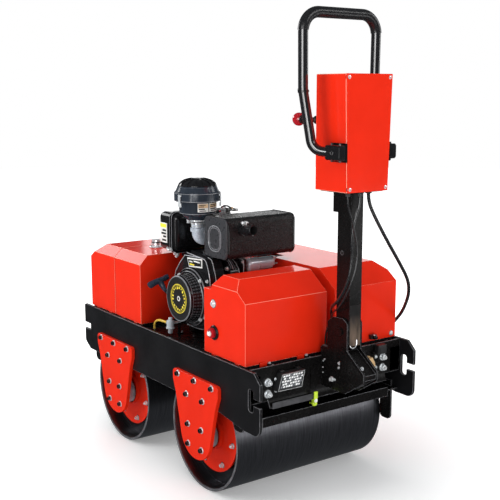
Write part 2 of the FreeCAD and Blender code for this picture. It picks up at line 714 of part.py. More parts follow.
shroud_corners = [
    # y and z from the crankshaft
    (30, 167), (-88, 154), (-110, 124), (-128, 70), (-128, -70), (-94, -118), (86, -118), (124, -70),
    (124, 70),
]
shroud = new_body("fan_shroud")
pad(shroud, "x", s.shroud_face_x, s.shroud_back_x - s.shroud_face_x,
    [(s.crank_y + y, s.crank_z + z) for y, z in shroud_corners])

body_start = s.recoil_face_x + s.recoil_disc_thick
ring_start = s.recoil_face_x + s.recoil_body_deep
outlet = (s.recoil_face_x + 28, s.crank_y + 80, s.crank_z)
RECOIL = [
    # name, start, end, radius
    ("disc", s.recoil_face_x, body_start, s.recoil_disc_radius),
    ("body", body_start, ring_start, s.recoil_body_radius),
    ("ring", ring_start, s.shroud_face_x, s.recoil_ring_radius),
]
recoil = [
    rod(f"recoil_{name}", "x", (start, s.crank_y, s.crank_z), end - start, radius)
    for name, start, end, radius in RECOIL
]
keep("recoil_starter", fuse("recoil_starter", [*recoil, rod("rope_outlet", "y", outlet, 28, 9)]))

grip_x = s.recoil_face_x + 28
grip_bar = box("grip_bar", (grip_x - 50, grip_x + 40), (172, 190), (677, 699))
pull_parts = [
    soften("grip_bar_rounded", grip_bar, 7, along_axis("x")),
    cone("pull_neck", "z", (grip_x, 165, s.crank_z - 8), 34, 9, 12),
    cone("pull_stem", "y", (grip_x, 128, s.crank_z), 34, 6, 9),
    rod("pull_rope", "y", (grip_x, s.crank_y + 108, s.crank_z), 14, 3),
]
keep("pull_handle", fuse("pull_handle", pull_parts))

CLEANER = [
    # name, bottom height, height, lower radius, upper radius
    ("neck", 0, 26, 40, 56),
    ("bowl", 26, 76, 64, 71),
    ("ring", 78, 34, 85, 85),
    ("shoulder", 112, 20, 85, 72),
    ("dome_low", 132, 18, 70, 52),
    ("dome_top", 150, 11, 52, 20),
]
cleaner_axis = (s.cleaner_x, s.cleaner_y)
keep("air_cleaner", fuse("air_cleaner", [
    cone(f"cleaner_{name}", "z", (*cleaner_axis, s.cleaner_low + low), height, lower, upper + 0.01)
    for name, low, height, lower, upper in CLEANER
]))
elbow_ball = doc.addObject("Part::Sphere", "elbow_ball")
bind(elbow_ball, Radius=s.elbow_radius)
bind(elbow_ball, Placement__Base__x=s.cleaner_x, Placement__Base__y=s.cleaner_y, Placement__Base__z=s.elbow_z)
head_side = s.barrel_x - s.head_half_x
elbow_parts = [
    elbow_ball,
    rod("elbow_neck", "z", (*cleaner_axis, s.elbow_z), s.cleaner_low - s.elbow_z, s.elbow_radius),
    rod("elbow_arm", "x", (*cleaner_axis, s.elbow_z), head_side - s.cleaner_x, s.elbow_radius),
]
keep("intake_elbow", fuse("intake_elbow", elbow_parts))

fuel_box = box("fuel_box", (s.tank_left, s.tank_right), (s.tank_rear, s.tank_front), (s.tank_low, s.tank_top))
keep("fuel_tank", soften("fuel_tank", fuel_box, s.tank_corner, lambda edge: True))
tank_bracket = []
riser_depth = (s.block_front, s.block_front + s.tank_riser_thick)
for side, x in (("left", -170), ("right", 0)):
    leg_span = (x, x + s.tank_leg_wide)
    tank_bracket.append(box(f"tank_leg_{side}", leg_span, (s.block_front, s.tank_rear + s.tank_leg_lap),
                            (s.tank_leg_low, s.tank_low)))
    tank_bracket.append(box(f"tank_riser_{side}", leg_span, riser_depth, (s.tank_riser_low, s.tank_low)))
keep("tank_bracket", fuse("tank_bracket", tank_bracket))

muffler_box = box("muffler_box", (s.muffler_left, s.muffler_right), (s.muffler_rear, s.muffler_front),
                  (s.muffler_low, s.muffler_top))
muffler_rounded = soften("muffler_rounded", muffler_box, s.muffler_corner, along_axis("x"))
stub = doc.addObject("Part::Cylinder", "exhaust_stub")
bind(stub, Radius=s.stub_radius, Height=s.stub_long)
stub.Placement.Rotation = FreeCAD.Rotation(FreeCAD.Vector(0, 0, 1), FreeCAD.Vector(0.1, -0.987, 0.12))
bind(stub, Placement__Base__x=s.stub_x, Placement__Base__y=s.muffler_rear + 3, Placement__Base__z=s.stub_z)
flange = box("exhaust_flange", (s.flange_left, s.flange_right), (s.muffler_front, s.barrel_y - s.head_half_y),
             (s.head_low + s.flange_inset, s.head_top - s.flange_inset))
keep("muffler", fuse("muffler", [muffler_rounded, stub, flange]))

starter_axis = (s.starter_y, s.starter_z)
bell_end = s.starter_left + s.starter_bell
starter_parts = [
    rod("starter_drive", "x", (s.starter_left, *starter_axis), s.starter_bell, s.starter_radius),
    rod("starter_body", "x", (bell_end, *starter_axis), s.starter_long - s.starter_bell,
        s.starter_radius - 2),
    box("starter_foot", (s.starter_left + 6, bell_end - 6), (s.starter_y - 10, s.block_rear),
        (s.starter_foot_low, s.starter_z)),
]
keep("starter_motor", fuse("starter_motor", starter_parts))

PUMP = [
    # name, start from the engine's right side, length, radius
    ("bell", 0, 52, 66),
    ("flange", 52, 14, 78),
    ("body", 66, 74, 48),
    ("end", 140, 48, 36),
]
pump_parts = [
    rod(f"pump_{name}", "x", (s.block_right + start, s.crank_y, s.crank_z), long, radius)
    for name, start, long, radius in PUMP
]
pump_parts.append(box("pump_valve", (s.block_right + 76, s.block_right + 132),
                      (s.crank_y - 30, s.crank_y + 30), (s.crank_z + 40, s.crank_z + 74)))
keep("hydraulic_pump", fuse("hydraulic_pump", pump_parts))

FILTER = [
    # name, height above the deck, length, radius
    ("cup", 6, 20, 9),
    ("rim", 26, 4, 17),
    ("head", 30, 26, 14.5),
    ("knob", 56, 12, 7),
]
filter_axis = (s.filter_x, s.filter_y)
filter_parts = [
    rod(f"filter_{name}", "z", (*filter_axis, s.deck_top + low), long, radius)
    for name, low, long, radius in FILTER
]
arm_depth = (s.filter_y - 7, s.filter_y + 7)
filter_parts += [
    rod("filter_port", "y", (s.filter_x - 5, s.filter_y + 1, s.deck_top + 45), 16, 5),
    box("filter_arm", (s.filter_x, s.filter_x + 43), arm_depth, (s.deck_top + 42, s.deck_top + 50)),
    box("filter_post", (s.filter_x + 33, s.filter_x + 43), arm_depth, (s.deck_top, s.deck_top + 50)),
]
keep("fuel_filter", fuse("fuel_filter", filter_parts))

# --------------------------------------------------------------------------------------------------
# Fittings on the frame and the covers
# --------------------------------------------------------------------------------------------------

light = new_body("work_light")
light_outline = [(-243, 426), (-139, 425), (-125, 485), (-224, 484)]
light_pad = pad(light, "y", s.rear_cross_y, s.light_depth, light_outline)
round_corners(light, light_pad, s.light_corner, along_axis("y"))

SWITCH = [
    # name, reach from the cover's side, length, radius
    ("base", 6, 6, 24),
    ("collar", 18, 12, 17),
    ("key", 26, 8, 9),
]
switch_parts = [
    rod(f"switch_{name}", "x", (-s.cover_half - reach, s.switch_y, s.switch_z), long, radius)
    for name, reach, long, radius in SWITCH
]
keep("battery_switch", fuse("battery_switch", switch_parts))

tap_parts = [
    rod("tap_body", "y", (s.tap_x, s.rear_cross_y - 24, s.tap_z), 30, 8),
    box("tap_lever", (s.tap_x - 6, s.tap_x + 6), (s.rear_cross_y - 26, s.rear_cross_y - 20),
        (s.tap_z, s.tap_z + 42)),
    box("tap_bracket", (s.tap_x - 8, s.tap_x + 8),
        (s.rear_cross_y - s.lip_out, s.rear_cross_y - s.lip_out + s.lip_thick), (s.tap_z - 8, s.lip_low)),
]
keep("water_tap", fuse("water_tap", tap_parts))

# --------------------------------------------------------------------------------------------------
# Handle: its bracket, post, control box and loop
# --------------------------------------------------------------------------------------------------

core = new_body("bracket_core")
del nodes["bracket_core"]
pad(core, "x", -s.cheek_inner, s.cheek_inner * 2, [
    (s.rear_cross_y, 411), (s.rear_cross_y, 548), (-597, 548), (-690, 484), (-690, 468), (-603, 411),
])
bracket_parts = [core]
cheek_outline = [
    (s.rear_cross_y, 405), (s.rear_cross_y, 546), (-514, 546), (-514, 636), (-542, 656), (-590, 659),
    (-613, 645), (-613, 553), (-696, 492), (-696, 462), (-607, 405),
]
cheek_rounded = [(-542, 656), (-590, 659), (-613, 645), (-696, 492), (-696, 462)]
for side, sign in SIDES:
    cheek = new_body(f"{side}_cheek")
    del nodes[f"{side}_cheek"]
    start = s.cheek_inner if sign > 0 else -s.cheek_inner - s.cheek_thick
    cheek_pad = pad(cheek, "x", start, s.cheek_thick, cheek_outline)
    round_corners(cheek, cheek_pad, s.cheek_corner, corner_at("x", *cheek_rounded))
    bracket_parts.append(cheek)
bracket_solid = fuse("bracket_solid", bracket_parts)
pin_reach = s.cheek_inner + s.cheek_thick + s.pin_head_thick
pin_bore = rod("pin_bore", "x", (-pin_reach, s.pivot_y, s.pivot_z), pin_reach * 2, s.pivot_radius)
keep("handle_bracket", cut("handle_bracket", bracket_solid, pin_bore))

pin_shank = rod("pin_shank", "x", (-pin_reach, s.pivot_y, s.pivot_z), pin_reach * 2,
                s.pivot_radius - s.pin_play)
pin_heads = [
    rod(f"pin_head_{side}", "x", (x, s.pivot_y, s.pivot_z), s.pin_head_thick, s.pin_head_radius)
    for side, x in (("left", -pin_reach), ("right", pin_reach - s.pin_head_thick))
]
keep("handle_pivot_pin", fuse("handle_pivot_pin", [pin_shank, *pin_heads]))

post = new_body("handle_post")
post_side = s.post_half - s.post_play
post_inner = post_side - s.post_wall
pad(post, "z", s.post_low, s.box_low - s.post_low, [
    (-post_side, s.post_rear),
    (post_side, s.post_rear),
    (post_side, s.post_front),
    (-post_side, s.post_front),
])
pocket(post, "z", s.post_low, s.box_low - s.post_low - s.post_cap, [
    (-post_inner, s.post_rear + s.post_wall),
    (post_inner, s.post_rear + s.post_wall),
    (post_inner, s.post_front - s.post_wall),
    (-post_inner, s.post_front - s.post_wall),
])
pocket(post, "x", -s.post_half - PAST, s.post_half, circles=[((s.hole_y, s.hole_z), s.hole_radius)])
pocket(post, "x", -s.post_half - PAST, (s.post_half + PAST) * 2,
       circles=[((s.pivot_y, s.pivot_z), s.pivot_radius)])
pad(post, "z", s.box_low - s.rib_high, s.rib_high, [
    (-s.rib_half, s.post_front),
    (s.rib_half, s.post_front),
    (s.rib_half, s.rib_front),
    (-s.rib_half, s.rib_front),
])


def box_shell(body, inset, low, high, feature_type):
    """A four-sided body that narrows behind, from its bottom to its top, smaller by inset all round."""
    b = size
    sections = []
    for height, rear_half in ((low, b.box_rear_half_low), (high, b.box_rear_half_top)):
        section = new_sketch(body, "z", height)
        rear = b.box_rear if inset == 0 else b.box_rear - PAST
        draw_outline(section, [
            (-rear_half + inset, rear), (rear_half - inset, rear),
            (b.box_half - inset, b.box_front - inset), (-b.box_half + inset, b.box_front - inset),
        ])
        sections.append(section)
    loft = body.newObject(feature_type, f"{body.Name}_loft")
    loft.Profile = sections[0]
    loft.Sections = [sections[1]]
    loft.Ruled = True


control_box = new_body("control_box")
box_shell(control_box, 0, s.box_low, s.box_top, "PartDesign::AdditiveLoft")
box_shell(control_box, s.box_sheet, s.box_low + s.box_sheet, s.box_top - s.box_sheet,
          "PartDesign::SubtractiveLoft")

lid = new_body("control_box_lid")
pad(lid, "y", s.box_rear, s.lid_thick, [
    (-s.box_rear_half_low, s.box_low), (s.box_rear_half_low, s.box_low),
    (s.box_rear_half_top, s.box_top), (-s.box_rear_half_top, s.box_top),
])

mount_blocks = []
for side, sign in SIDES:
    inner_x = s.box_half - s.mount_grip
    outer_x = s.box_half + s.mount_out
    span = (inner_x, outer_x) if sign > 0 else (-outer_x, -inner_x)
    block = box(f"loop_block_{side}", span, (s.box_rear - s.mount_rear, s.box_rear + s.mount_long),
                (s.mount_low, s.mount_high))
    outer_edges = corner_at("y", (sign * outer_x, s.mount_low), (sign * outer_x, s.mount_high))
    mount_blocks.append(soften(f"loop_block_soft_{side}", block, s.mount_corner, outer_edges))
loop_mounts = doc.addObject("Part::Compound", "loop_mounts")
loop_mounts.Links = mount_blocks
keep("loop_mounts", loop_mounts)


def round_route(points, radii):
    """A wire of straight runs through the points, with a tangent arc of a given radius at each inner one."""
    spots = [FreeCAD.Vector(*(value_of(c) for c in point)) for point in points]
    edges = []
    start = spots[0]
    for index in range(1, len(spots) - 1):
        before = (spots[index - 1] - spots[index]).normalize()
        after = (spots[index + 1] - spots[index]).normalize()
        half = before.getAngle(after) / 2
        radius = radii[index - 1]
        back = radius / math.tan(half)
        entry = spots[index] + before * back
        leave = spots[index] + after * back
        bisector = (before + after).normalize()
        middle = spots[index] + bisector * (radius / math.sin(half) - radius)
        edges.append(Part.LineSegment(start, entry).toShape())
        edges.append(Part.Arc(entry, middle, leave).toShape())
        start = leave
    edges.append(Part.LineSegment(start, spots[-1]).toShape())
    return Part.Wire(edges)


def tube_along(wire, radius):
    """A solid tube of one radius along a tangent wire."""
    start = wire.Edges[0]
    direction = start.tangentAt(start.FirstParameter)
    ring = Part.Wire([Part.Circle(start.valueAt(start.FirstParameter), direction, radius).toShape()])
    solid = wire.makePipeShell([ring], True, True)
    expected = math.pi * radius ** 2 * wire.Length
    if abs(solid.Volume - expected) > 0.01 * expected:
        raise RuntimeError("a tube's volume isn't its section times its length")
    return solid


def tube_part(node, wire, radius):
    part = doc.addObject("Part::Feature", node)
    part.Shape = tube_along(wire, radius)
    part.Placement = FreeCAD.Placement()
    return keep(node, part)


LOOP = [
    # x, y, z and the bend there, on the left, from its mount up to the top bar's corner
    (-106, (s.box_rear + s.mount_long).value, 1206, 0),
    (-139, -552, 1212, 42),
    (-152, s.loop_y.value, 1398, 160),
    (-s.loop_half.value, s.loop_y.value, s.loop_top.value, s.loop_bend.value),
]
left_half = [(x, y, z) for x, y, z, bend in LOOP]
right_half = [(-x, y, z) for x, y, z in reversed(left_half)]
leg_bends = [bend for x, y, z, bend in LOOP[1:]]
loop_wire = round_route(left_half + right_half, leg_bends + leg_bends[::-1])
tube_part("handle_loop", loop_wire, s.loop_radius.value)

LEVER = [
    # name, start from the box's front, length, radius
    ("plate", 0, 5, 22),
    ("stem", 5, 90, 8),
    ("knob_neck", 84, 10, 15),
]
lever_parts = [
    rod(f"lever_{name}", "y", (s.lever_x, s.box_front + start, s.lever_z), long, radius)
    for name, start, long, radius in LEVER
]
knob = doc.addObject("Part::Sphere", "lever_knob")
bind(knob, Radius=s.knob_radius)
bind(knob, Placement__Base__x=s.lever_x, Placement__Base__y=s.box_front + s.knob_reach,
     Placement__Base__z=s.lever_z)
keep("control_lever", fuse("control_lever", [*lever_parts, knob]))

# --------------------------------------------------------------------------------------------------
# Hoses and cable between the control box and the frame, with their glands
# --------------------------------------------------------------------------------------------------


def open_radii(spots):
    """The radius of each inner point's arc: 0.45 of its shorter run over the tangent of half its turn."""
    radii = []
    for index in range(1, len(spots) - 1):
        before = FreeCAD.Vector(*spots[index]) - FreeCAD.Vector(*spots[index - 1])
        after = FreeCAD.Vector(*spots[index + 1]) - FreeCAD.Vector(*spots[index])
        shorter = min(before.Length, after.Length)
        radii.append(0.45 * shorter / math.tan(before.getAngle(after) / 2))
    return radii


CORDS = [
    # node, radius, route
    ("drive_hose", 6, [
        (66, -594, 1067), (66, -594, 1038), (80, -614, 986), (112, -639, 910), (160, -650, 834),
        (212, -642, 768), (252, -608, 711), (290, -556, 658), (326, -502, 612), (344, -462, 580),
        (347, -436, 555),
    ]),
    ("throttle_cable", 3, [
        (-58, -632, 1067), (-58, -632, 1036), (-44, -641, 984), (-25, -641, 920), (-21, -641, 854),
        (-42, -641, 788), (-58, -612, 716), (-44, -562, 680), (-24, -528, 664), (-12, -500, 625),
        (-12, -478, 578), (-12, -478, 535),
    ]),
    ("switch_loom", 5, [
        (-6, -633, 1067), (-6, -633, 1037), (-26, -631, 992), (-35, -629, 935), (-31, -628, 862),
        (-42, -626, 793), (-54, -600, 732), (-46, -553, 696), (-24, -518, 676), (-1, -500, 634),
        (3, -477, 580), (3, -477, 535),
    ]),
    ("fuel_hose", 4.5, [
        (-300, 92, 545), (-300, 118, 545), (-300, 146, 543.4), (-300, 168, 537.5), (-300, 180, 527),
        (-300, 185.5, 514.3), (-300, 185.5, 502),
    ]),
]
for node, radius, route in CORDS:
    bends = open_radii(route)
    wire = round_route(route, bends)
    tube_part(node, wire, radius)
    print(f"{node}: {wire.Length:.0f} mm long, bend radii " + ", ".join(f"{bend:.0f}" for bend in bends))

hose_ends = {node: (route[0], route[-1]) for node, radius, route in CORDS}
box_glands = []
for node, radius in (("drive_hose", 10), ("throttle_cable", 7), ("switch_loom", 9)):
    x, y, z = hose_ends[node][0]
    box_glands.append(rod(f"{node}_box_gland", "z", (x, y, s.box_low - s.gland_high), s.gland_high, radius))
box_gland_set = doc.addObject("Part::Compound", "box_glands")
box_gland_set.Links = box_glands
keep("box_glands", box_gland_set)

# the elbow on the right cover that takes the drive hose
end_x, end_y, end_z = hose_ends["drive_hose"][1]
hose_elbow_parts = [
    rod("hose_elbow_nut", "x", (s.cover_half, end_y + 12, end_z - 12), 6, 13),
    rod("hose_elbow_stem", "x", (s.cover_half, end_y + 12, end_z - 12), 18, 8),
]
before_end = FreeCAD.Vector(*CORDS[0][2][-2])
hose_exit = (FreeCAD.Vector(end_x, end_y, end_z) - before_end).normalize()
socket = doc.addObject("Part::Cylinder", "hose_elbow_socket")
socket.Radius = 8.5
socket.Height = 22
socket.Placement = FreeCAD.Placement(
    FreeCAD.Vector(end_x, end_y, end_z), FreeCAD.Rotation(FreeCAD.Vector(0, 0, 1), hose_exit)
)
keep("hose_elbow", fuse("hose_elbow", [*hose_elbow_parts, socket]))

gland_block = box("gland_block", (-24, 16), (s.rear_cross_y + 1, s.rear_cross_y + 19),
                  (s.plate_top - s.cross_drop, 535))
keep("frame_gland", soften("frame_gland", gland_block, 4, along_axis("z")))
keep("fuel_grommet", rod("fuel_grommet", "z", (-300, 185.5, s.deck_top), 2, 9))

# --------------------------------------------------------------------------------------------------
# Checks and files
# --------------------------------------------------------------------------------------------------

doc.recompute()
faults = [thing.Name for thing in doc.Objects if {"Invalid", "Error"} & set(thing.State)]
for node, thing in nodes.items():
    if thing.Shape.isNull() or not thing.Shape.isValid():
        faults.append(node)
if faults:
    raise RuntimeError("faulty objects: " + ", ".join(faults))

os.makedirs("parts", exist_ok=True)
for node, thing in nodes.items():
    thing.Shape.exportStep(f"parts/{node}.step")
total = sum(thing.Shape.Volume for thing in nodes.values())
print(f"{len(nodes)} sub-parts, {total / 1e9:.4f} cubic metres of solid")
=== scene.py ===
import math

import bmesh
import bpy
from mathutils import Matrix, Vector


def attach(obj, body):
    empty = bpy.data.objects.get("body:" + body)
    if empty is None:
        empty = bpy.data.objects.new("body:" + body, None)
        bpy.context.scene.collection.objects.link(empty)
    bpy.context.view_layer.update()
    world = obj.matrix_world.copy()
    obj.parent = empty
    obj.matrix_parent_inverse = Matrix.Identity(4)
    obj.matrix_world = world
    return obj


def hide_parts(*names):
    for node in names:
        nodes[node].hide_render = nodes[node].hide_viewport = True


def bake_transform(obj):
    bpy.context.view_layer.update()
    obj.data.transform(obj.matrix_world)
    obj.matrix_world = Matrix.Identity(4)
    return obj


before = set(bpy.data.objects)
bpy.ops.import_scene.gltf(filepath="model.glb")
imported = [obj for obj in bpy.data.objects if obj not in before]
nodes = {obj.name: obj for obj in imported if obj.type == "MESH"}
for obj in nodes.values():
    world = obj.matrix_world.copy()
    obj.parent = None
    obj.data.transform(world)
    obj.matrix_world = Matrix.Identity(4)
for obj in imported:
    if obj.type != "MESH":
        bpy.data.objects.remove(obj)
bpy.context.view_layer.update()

# A walk-behind compaction roller. +Z is up, +Y is the way it travels, +X is on the right of whoever stands at
# the handle. Lengths are in millimetres and become metres when a piece is made, but the camera, the lights
# and the materials are in metres.

scene = bpy.context.scene

MM = 0.001
SHARP_ANGLE = 34  # degrees between two faces from which their edge stays sharp
MERGE_GAP = 0.00002  # metres between CAD points that are one point
PIECE_GAP = 0.0005  # millimetres between points of a piece that are one point
FLAT_ANGLE = 0.6  # degrees between two CAD faces up to which they are one flat face
EDGE_ANGLE = 30  # degrees between two CAD faces from which their edge is rounded
SOFTEN_ANGLE = 20  # the same in a piece
# name, sign of x and outward direction
SIDES = (("left", -1, "-x"), ("right", 1, "x"))
# name, y of the axle and turn of the first bolt on the drive discs
DRUMS = (("front", 405, -164), ("rear", -195, -171))
AXLE_Z = 210
DISC_X = 288  # outer faces of the drive discs
DRUM_RIM_X = 325
HUB_X = 347
BRACKET_X = 362  # outer faces of the drum brackets
COVER_X = 335  # outer sides of the covers
SEAL_X = 329
SEAL_Z = (500.5, 517)
REAR_PLATE_Y = -485
GLAND_Z = 1067  # feet of the glands under the control box
CRANK_Y, CRANK_Z = 8, 651
RECOIL_X = -300
CLEANER_AT = (-202, 26, 925)
FLOOR_RADIUS = 14000


def placed(name, data):
    """A new object of the scene that holds this data."""
    made = bpy.data.objects.new(name, data)
    scene.collection.objects.link(made)
    return made


# ---- Camera and light ----

camera_data = bpy.data.cameras.new("camera")
camera_data.sensor_width = 36
camera_data.lens = 66.24
camera_data.clip_end = 60
camera = placed("camera", camera_data)
YAW = math.radians(-35.68)
PITCH = math.radians(-9.746)
camera.rotation_euler = (math.radians(90) + PITCH, 0, YAW)
camera.location = (-1.9954, -2.8007, 1.3926)
scene.camera = camera
scene.view_settings.view_transform = "Standard"

# The world lights the object evenly, shows less in what is glossy, and is white to the camera.
world = bpy.data.worlds.new("studio")
world.use_nodes = True
scene.world = world
world_nodes = world.node_tree.nodes
join = world.node_tree.links.new
path = world_nodes.new("ShaderNodeLightPath")


def backdrop(made, colour, strength):
    made.inputs["Color"].default_value = (*colour, 1)
    made.inputs["Strength"].default_value = strength
    return made.outputs[0]


shown = backdrop(world_nodes["Background"], (0.96, 0.98, 1), 0.42)
for ray, colour, strength in (("Is Glossy Ray", (0.9, 0.95, 1), 0.10), ("Is Camera Ray", (1, 1, 1), 1.0)):
    either = world_nodes.new("ShaderNodeMixShader")
    join(path.outputs[ray], either.inputs[0])
    join(shown, either.inputs[1])
    join(backdrop(world_nodes.new("ShaderNodeBackground"), colour, strength), either.inputs[2])
    shown = either.outputs[0]
join(shown, world_nodes["World Output"].inputs["Surface"])

FILLS = (
    # name, place, what it faces, size, power
    ("top_light", (-0.6, -0.3, 3.6), (0, 0, 0.6), (2.6, 3.4), 62),
    ("left_light", (-3.6, 1.2, 2.0), (0, 0, 0.7), (1.6, 2.4), 67),
    ("rear_light", (0.2, -4.4, 1.2), (0, 0, 0.4), (2.6, 1.4), 42),
    ("right_light", (3.8, -1.0, 1.8), (0, 0, 0.6), (1.2, 2.2), 20),
    ("front_light", (0.8, 3.8, 2.2), (0, 0, 0.6), (2.0, 1.6), 20),
)
SHEENS = (
    ("front_sheen", (-1.0, 3.6, 2.5), (0, 0, 0.7), (2.4, 0.9), 34),
    ("left_sheen", (-3.4, -1.6, 1.5), (0, 0, 0.8), (0.5, 2.6), 24),
    ("right_sheen", (3.2, -1.4, 2.2), (0, 0, 0.8), (0.7, 2.2), 20),
    ("rear_sheen", (1.5, -3.2, 3.0), (0, 0, 0.5), (2.2, 0.6), 20),
    ("drum_sheen", (2.0, -3.1, 0.42), (0, -0.4, 0.3), (2.8, 0.5), 12),
    ("near_sheen", (-3.4, -3.3, 1.8), (0, -0.5, 1.0), (1.7, 2.2), 80),
    ("top_sheen", (3.2, 3.2, 1.5), (0, 0, 0.8), (3.4, 1.0), 15),
)


def softbox(name, place, target, size, power, sheen):
    """A rectangular studio light that faces the target: a fill, or one that only shows as a sheen."""
    data = bpy.data.lights.new(name, "AREA")
    data.shape = "RECTANGLE"
    data.size, data.size_y = size
    data.energy = power
    light = placed(name, data)
    light.location = place
    light.rotation_euler = (Vector(target) - Vector(place)).to_track_quat("-Z", "Y").to_euler()
    light.visible_diffuse = not sheen
    light.visible_glossy = sheen


for rows, sheen in ((FILLS, False), (SHEENS, True)):
    for row in rows:
        softbox(*row, sheen)

# ---- Materials ----

DUST = (0.32, 0.30, 0.27)
# metres from the middle where the floor's glow starts to grow, and where it is full
GLOW_REACH = (0.55, 2.4)
# Blender's pointiness of an edge that starts to wear, and of one that is worn
WEAR_RANGE = (0.53, 0.60)
# upward part of the normal where dust starts to lie, and where it lies in full
DUST_RANGE = (0.6, 1.0)


def material(name, colour, rough, metal=0.0, shine=0.5, coat=0.0, vary=0.15, vary_scale=9, rough_vary=0.06,
             grain=0.05, grain_scale=500, grain_depth=0.0006, stretch=(1, 1, 1), wear=0.0,
             worn=(0.3, 0.3, 0.3), dust=0.0, fade=None, glow=None):
    """A finish with uneven colour and gloss, a fine surface grain, wear along its edges and dust on its
    upturned faces, all from noise in the object's own space. A fade is two heights and the colour below them,
    and a glow is how strongly the finish shines by itself near the middle and far from it."""
    made = bpy.data.materials.new(name)
    made.use_nodes = True
    tree = made.node_tree
    shader = tree.nodes["Principled BSDF"]
    for socket, value in (("Metallic", metal), ("Specular IOR Level", shine), ("Coat Weight", coat),
                          ("Coat Roughness", 0.06)):
        shader.inputs[socket].default_value = value
    link = tree.links.new

    def node(kind, **values):
        made_node = tree.nodes.new("ShaderNode" + kind)
        for key, value in values.items():
            if hasattr(made_node, key):
                setattr(made_node, key, value)
            else:
                made_node.inputs[key.replace("_", " ")].default_value = value
        return made_node

    place = node("TexCoord")
    mapping = node("Mapping", Scale=stretch)
    link(place.outputs["Object"], mapping.inputs["Vector"])

    def noise(scale, detail):
        found = node("TexNoise", Scale=scale, Detail=detail)
        link(mapping.outputs["Vector"], found.inputs["Vector"])
        return found.outputs["Fac"]

    def mix(factor, first, second):
        mixed = node("Mix", data_type="RGBA")
        link(factor, mixed.inputs[0])
        for socket, value in ((mixed.inputs[6], first), (mixed.inputs[7], second)):
            if isinstance(value, tuple):
                socket.default_value = (*value, 1)
            else:
                link(value, socket)
        return mixed.outputs[2]

    def spread(value, from_low, from_high, low, high):
        ranged = node("MapRange", From_Min=from_low, From_Max=from_high, To_Min=low, To_Max=high)
        link(value, ranged.inputs["Value"])
        return ranged.outputs["Result"]

    def times(first, second):
        product = node("Math", operation="MULTIPLY")
        link(first, product.inputs[0])
        link(second, product.inputs[1])
        return product.outputs[0]

    def height(source):
        split = node("SeparateXYZ")
        link(source, split.inputs[0])
        return split.outputs["Z"]

    darker = tuple(c * (1 - vary) for c in colour)
    lighter = tuple(min(1.0, c * (1 + vary) + vary * 0.01) for c in colour)
    tint = mix(spread(noise(vary_scale, 5), 0.3, 0.7, 0, 1), darker, lighter)
    smoothest, roughest = max(0.03, rough - rough_vary), min(1, rough + rough_vary)
    link(spread(noise(vary_scale * 6, 3), 0.3, 0.7, smoothest, roughest), shader.inputs["Roughness"])
    if wear:
        edge = spread(node("NewGeometry").outputs["Pointiness"], *WEAR_RANGE, 0, wear)
        tint = mix(times(edge, spread(noise(90, 4), 0.35, 0.6, 0, 1)), tint, worn)
    if dust:
        upturned = spread(height(node("NewGeometry").outputs["Normal"]), *DUST_RANGE, 0, dust)
        tint = mix(times(upturned, spread(noise(25, 6), 0.4, 0.7, 0, 1)), tint, DUST)
    if fade:
        low, high, other = fade
        below = spread(height(place.outputs["Object"]), low, high, 1, 0)
        tint = mix(times(below, spread(noise(60, 6), 0.3, 0.6, 0.2, 1)), tint, other)
    link(tint, shader.inputs["Base Color"])
    if grain:
        bump = node("Bump", Strength=grain, Distance=grain_depth)
        link(noise(grain_scale, 3), bump.inputs["Height"])
        link(bump.outputs["Normal"], shader.inputs["Normal"])
    if glow:
        reach = node("VectorMath", operation="LENGTH")
        link(place.outputs["Object"], reach.inputs[0])
        shader.inputs["Emission Color"].default_value = (1, 1, 1, 1)
        link(spread(reach.outputs["Value"], *GLOW_REACH, *glow), shader.inputs["Emission Strength"])
    return made


RED = material("red_paint", (0.72, 0.022, 0.006), 0.13, shine=0.22, vary=0.04, rough_vary=0.03, grain=0.03,
               grain_scale=700)
# pinkish paint on the rounded folds of the red parts, a painted highlight
RED_FOLD_HIGHLIGHT = material("red_fold_highlight", (1.0, 0.42, 0.30), 0.2, vary=0.12, vary_scale=40)
# light grey paint on the rounded edges of black parts, a painted highlight
BLACK_EDGE_HIGHLIGHT = material("black_edge_highlight", (0.16, 0.16, 0.17), 0.3, vary=0.5, vary_scale=60, grain=0.1)
BLACK = material("frame_black", (0.005, 0.0045, 0.0045), 0.26, shine=0.14, vary=0.2, grain=0.06,
                 grain_scale=650)
WORN_STEEL = material("worn_steel", (0.008, 0.007, 0.007), 0.36, shine=0.16, vary=0.4, vary_scale=50,
                      grain=0.3, stretch=(1, 1, 0.25), fade=(0.60, 0.672, (0.13, 0.09, 0.065)))
DRUM = material("drum_steel", (0.16, 0.16, 0.175), 0.34, metal=1.0, vary=0.25, vary_scale=330, grain=0.5,
                grain_scale=520, stretch=(1, 0.04, 0.04), wear=0.7, worn=(0.4, 0.4, 0.42))
GLOSS = material("gloss_black", (0.007, 0.007, 0.008), 0.12, shine=0.4, grain=0.02)
CAST = material("cast_black", (0.010, 0.010, 0.011), 0.42, shine=0.3, vary=0.3, grain=0.5, grain_scale=420,
                wear=0.5, worn=(0.10, 0.10, 0.10))
IRON = material("pump_iron", (0.045, 0.046, 0.05), 0.5, metal=0.4, vary=0.25, grain=0.6, grain_scale=300,
                wear=0.4)
CLEANER = material("cleaner_plastic", (0.018, 0.024, 0.034), 0.20, vary=0.12, grain=0.04, grain_scale=900)
PLASTIC = material("handle_plastic", (0.018, 0.028, 0.048), 0.30, vary=0.12, grain=0.15, grain_scale=900)
ALUMINIUM = material("bare_aluminium", (0.60, 0.62, 0.65), 0.3, metal=0.4, grain=0.25, grain_scale=350,
                     wear=0.3, worn=(0.85, 0.85, 0.85))
ELBOW = material("cast_elbow", (0.50, 0.55, 0.62), 0.26, metal=0.15, shine=0.8, vary_scale=40, grain=0.1,
                 grain_scale=400)
STEEL = material("starter_steel", (0.58, 0.62, 0.68), 0.2, metal=0.2, shine=0.9, vary=0.1)
CHROME = material("bright_chrome", (0.95, 0.97, 1.0), 0.10, metal=0.55, shine=0.9, vary_scale=80)
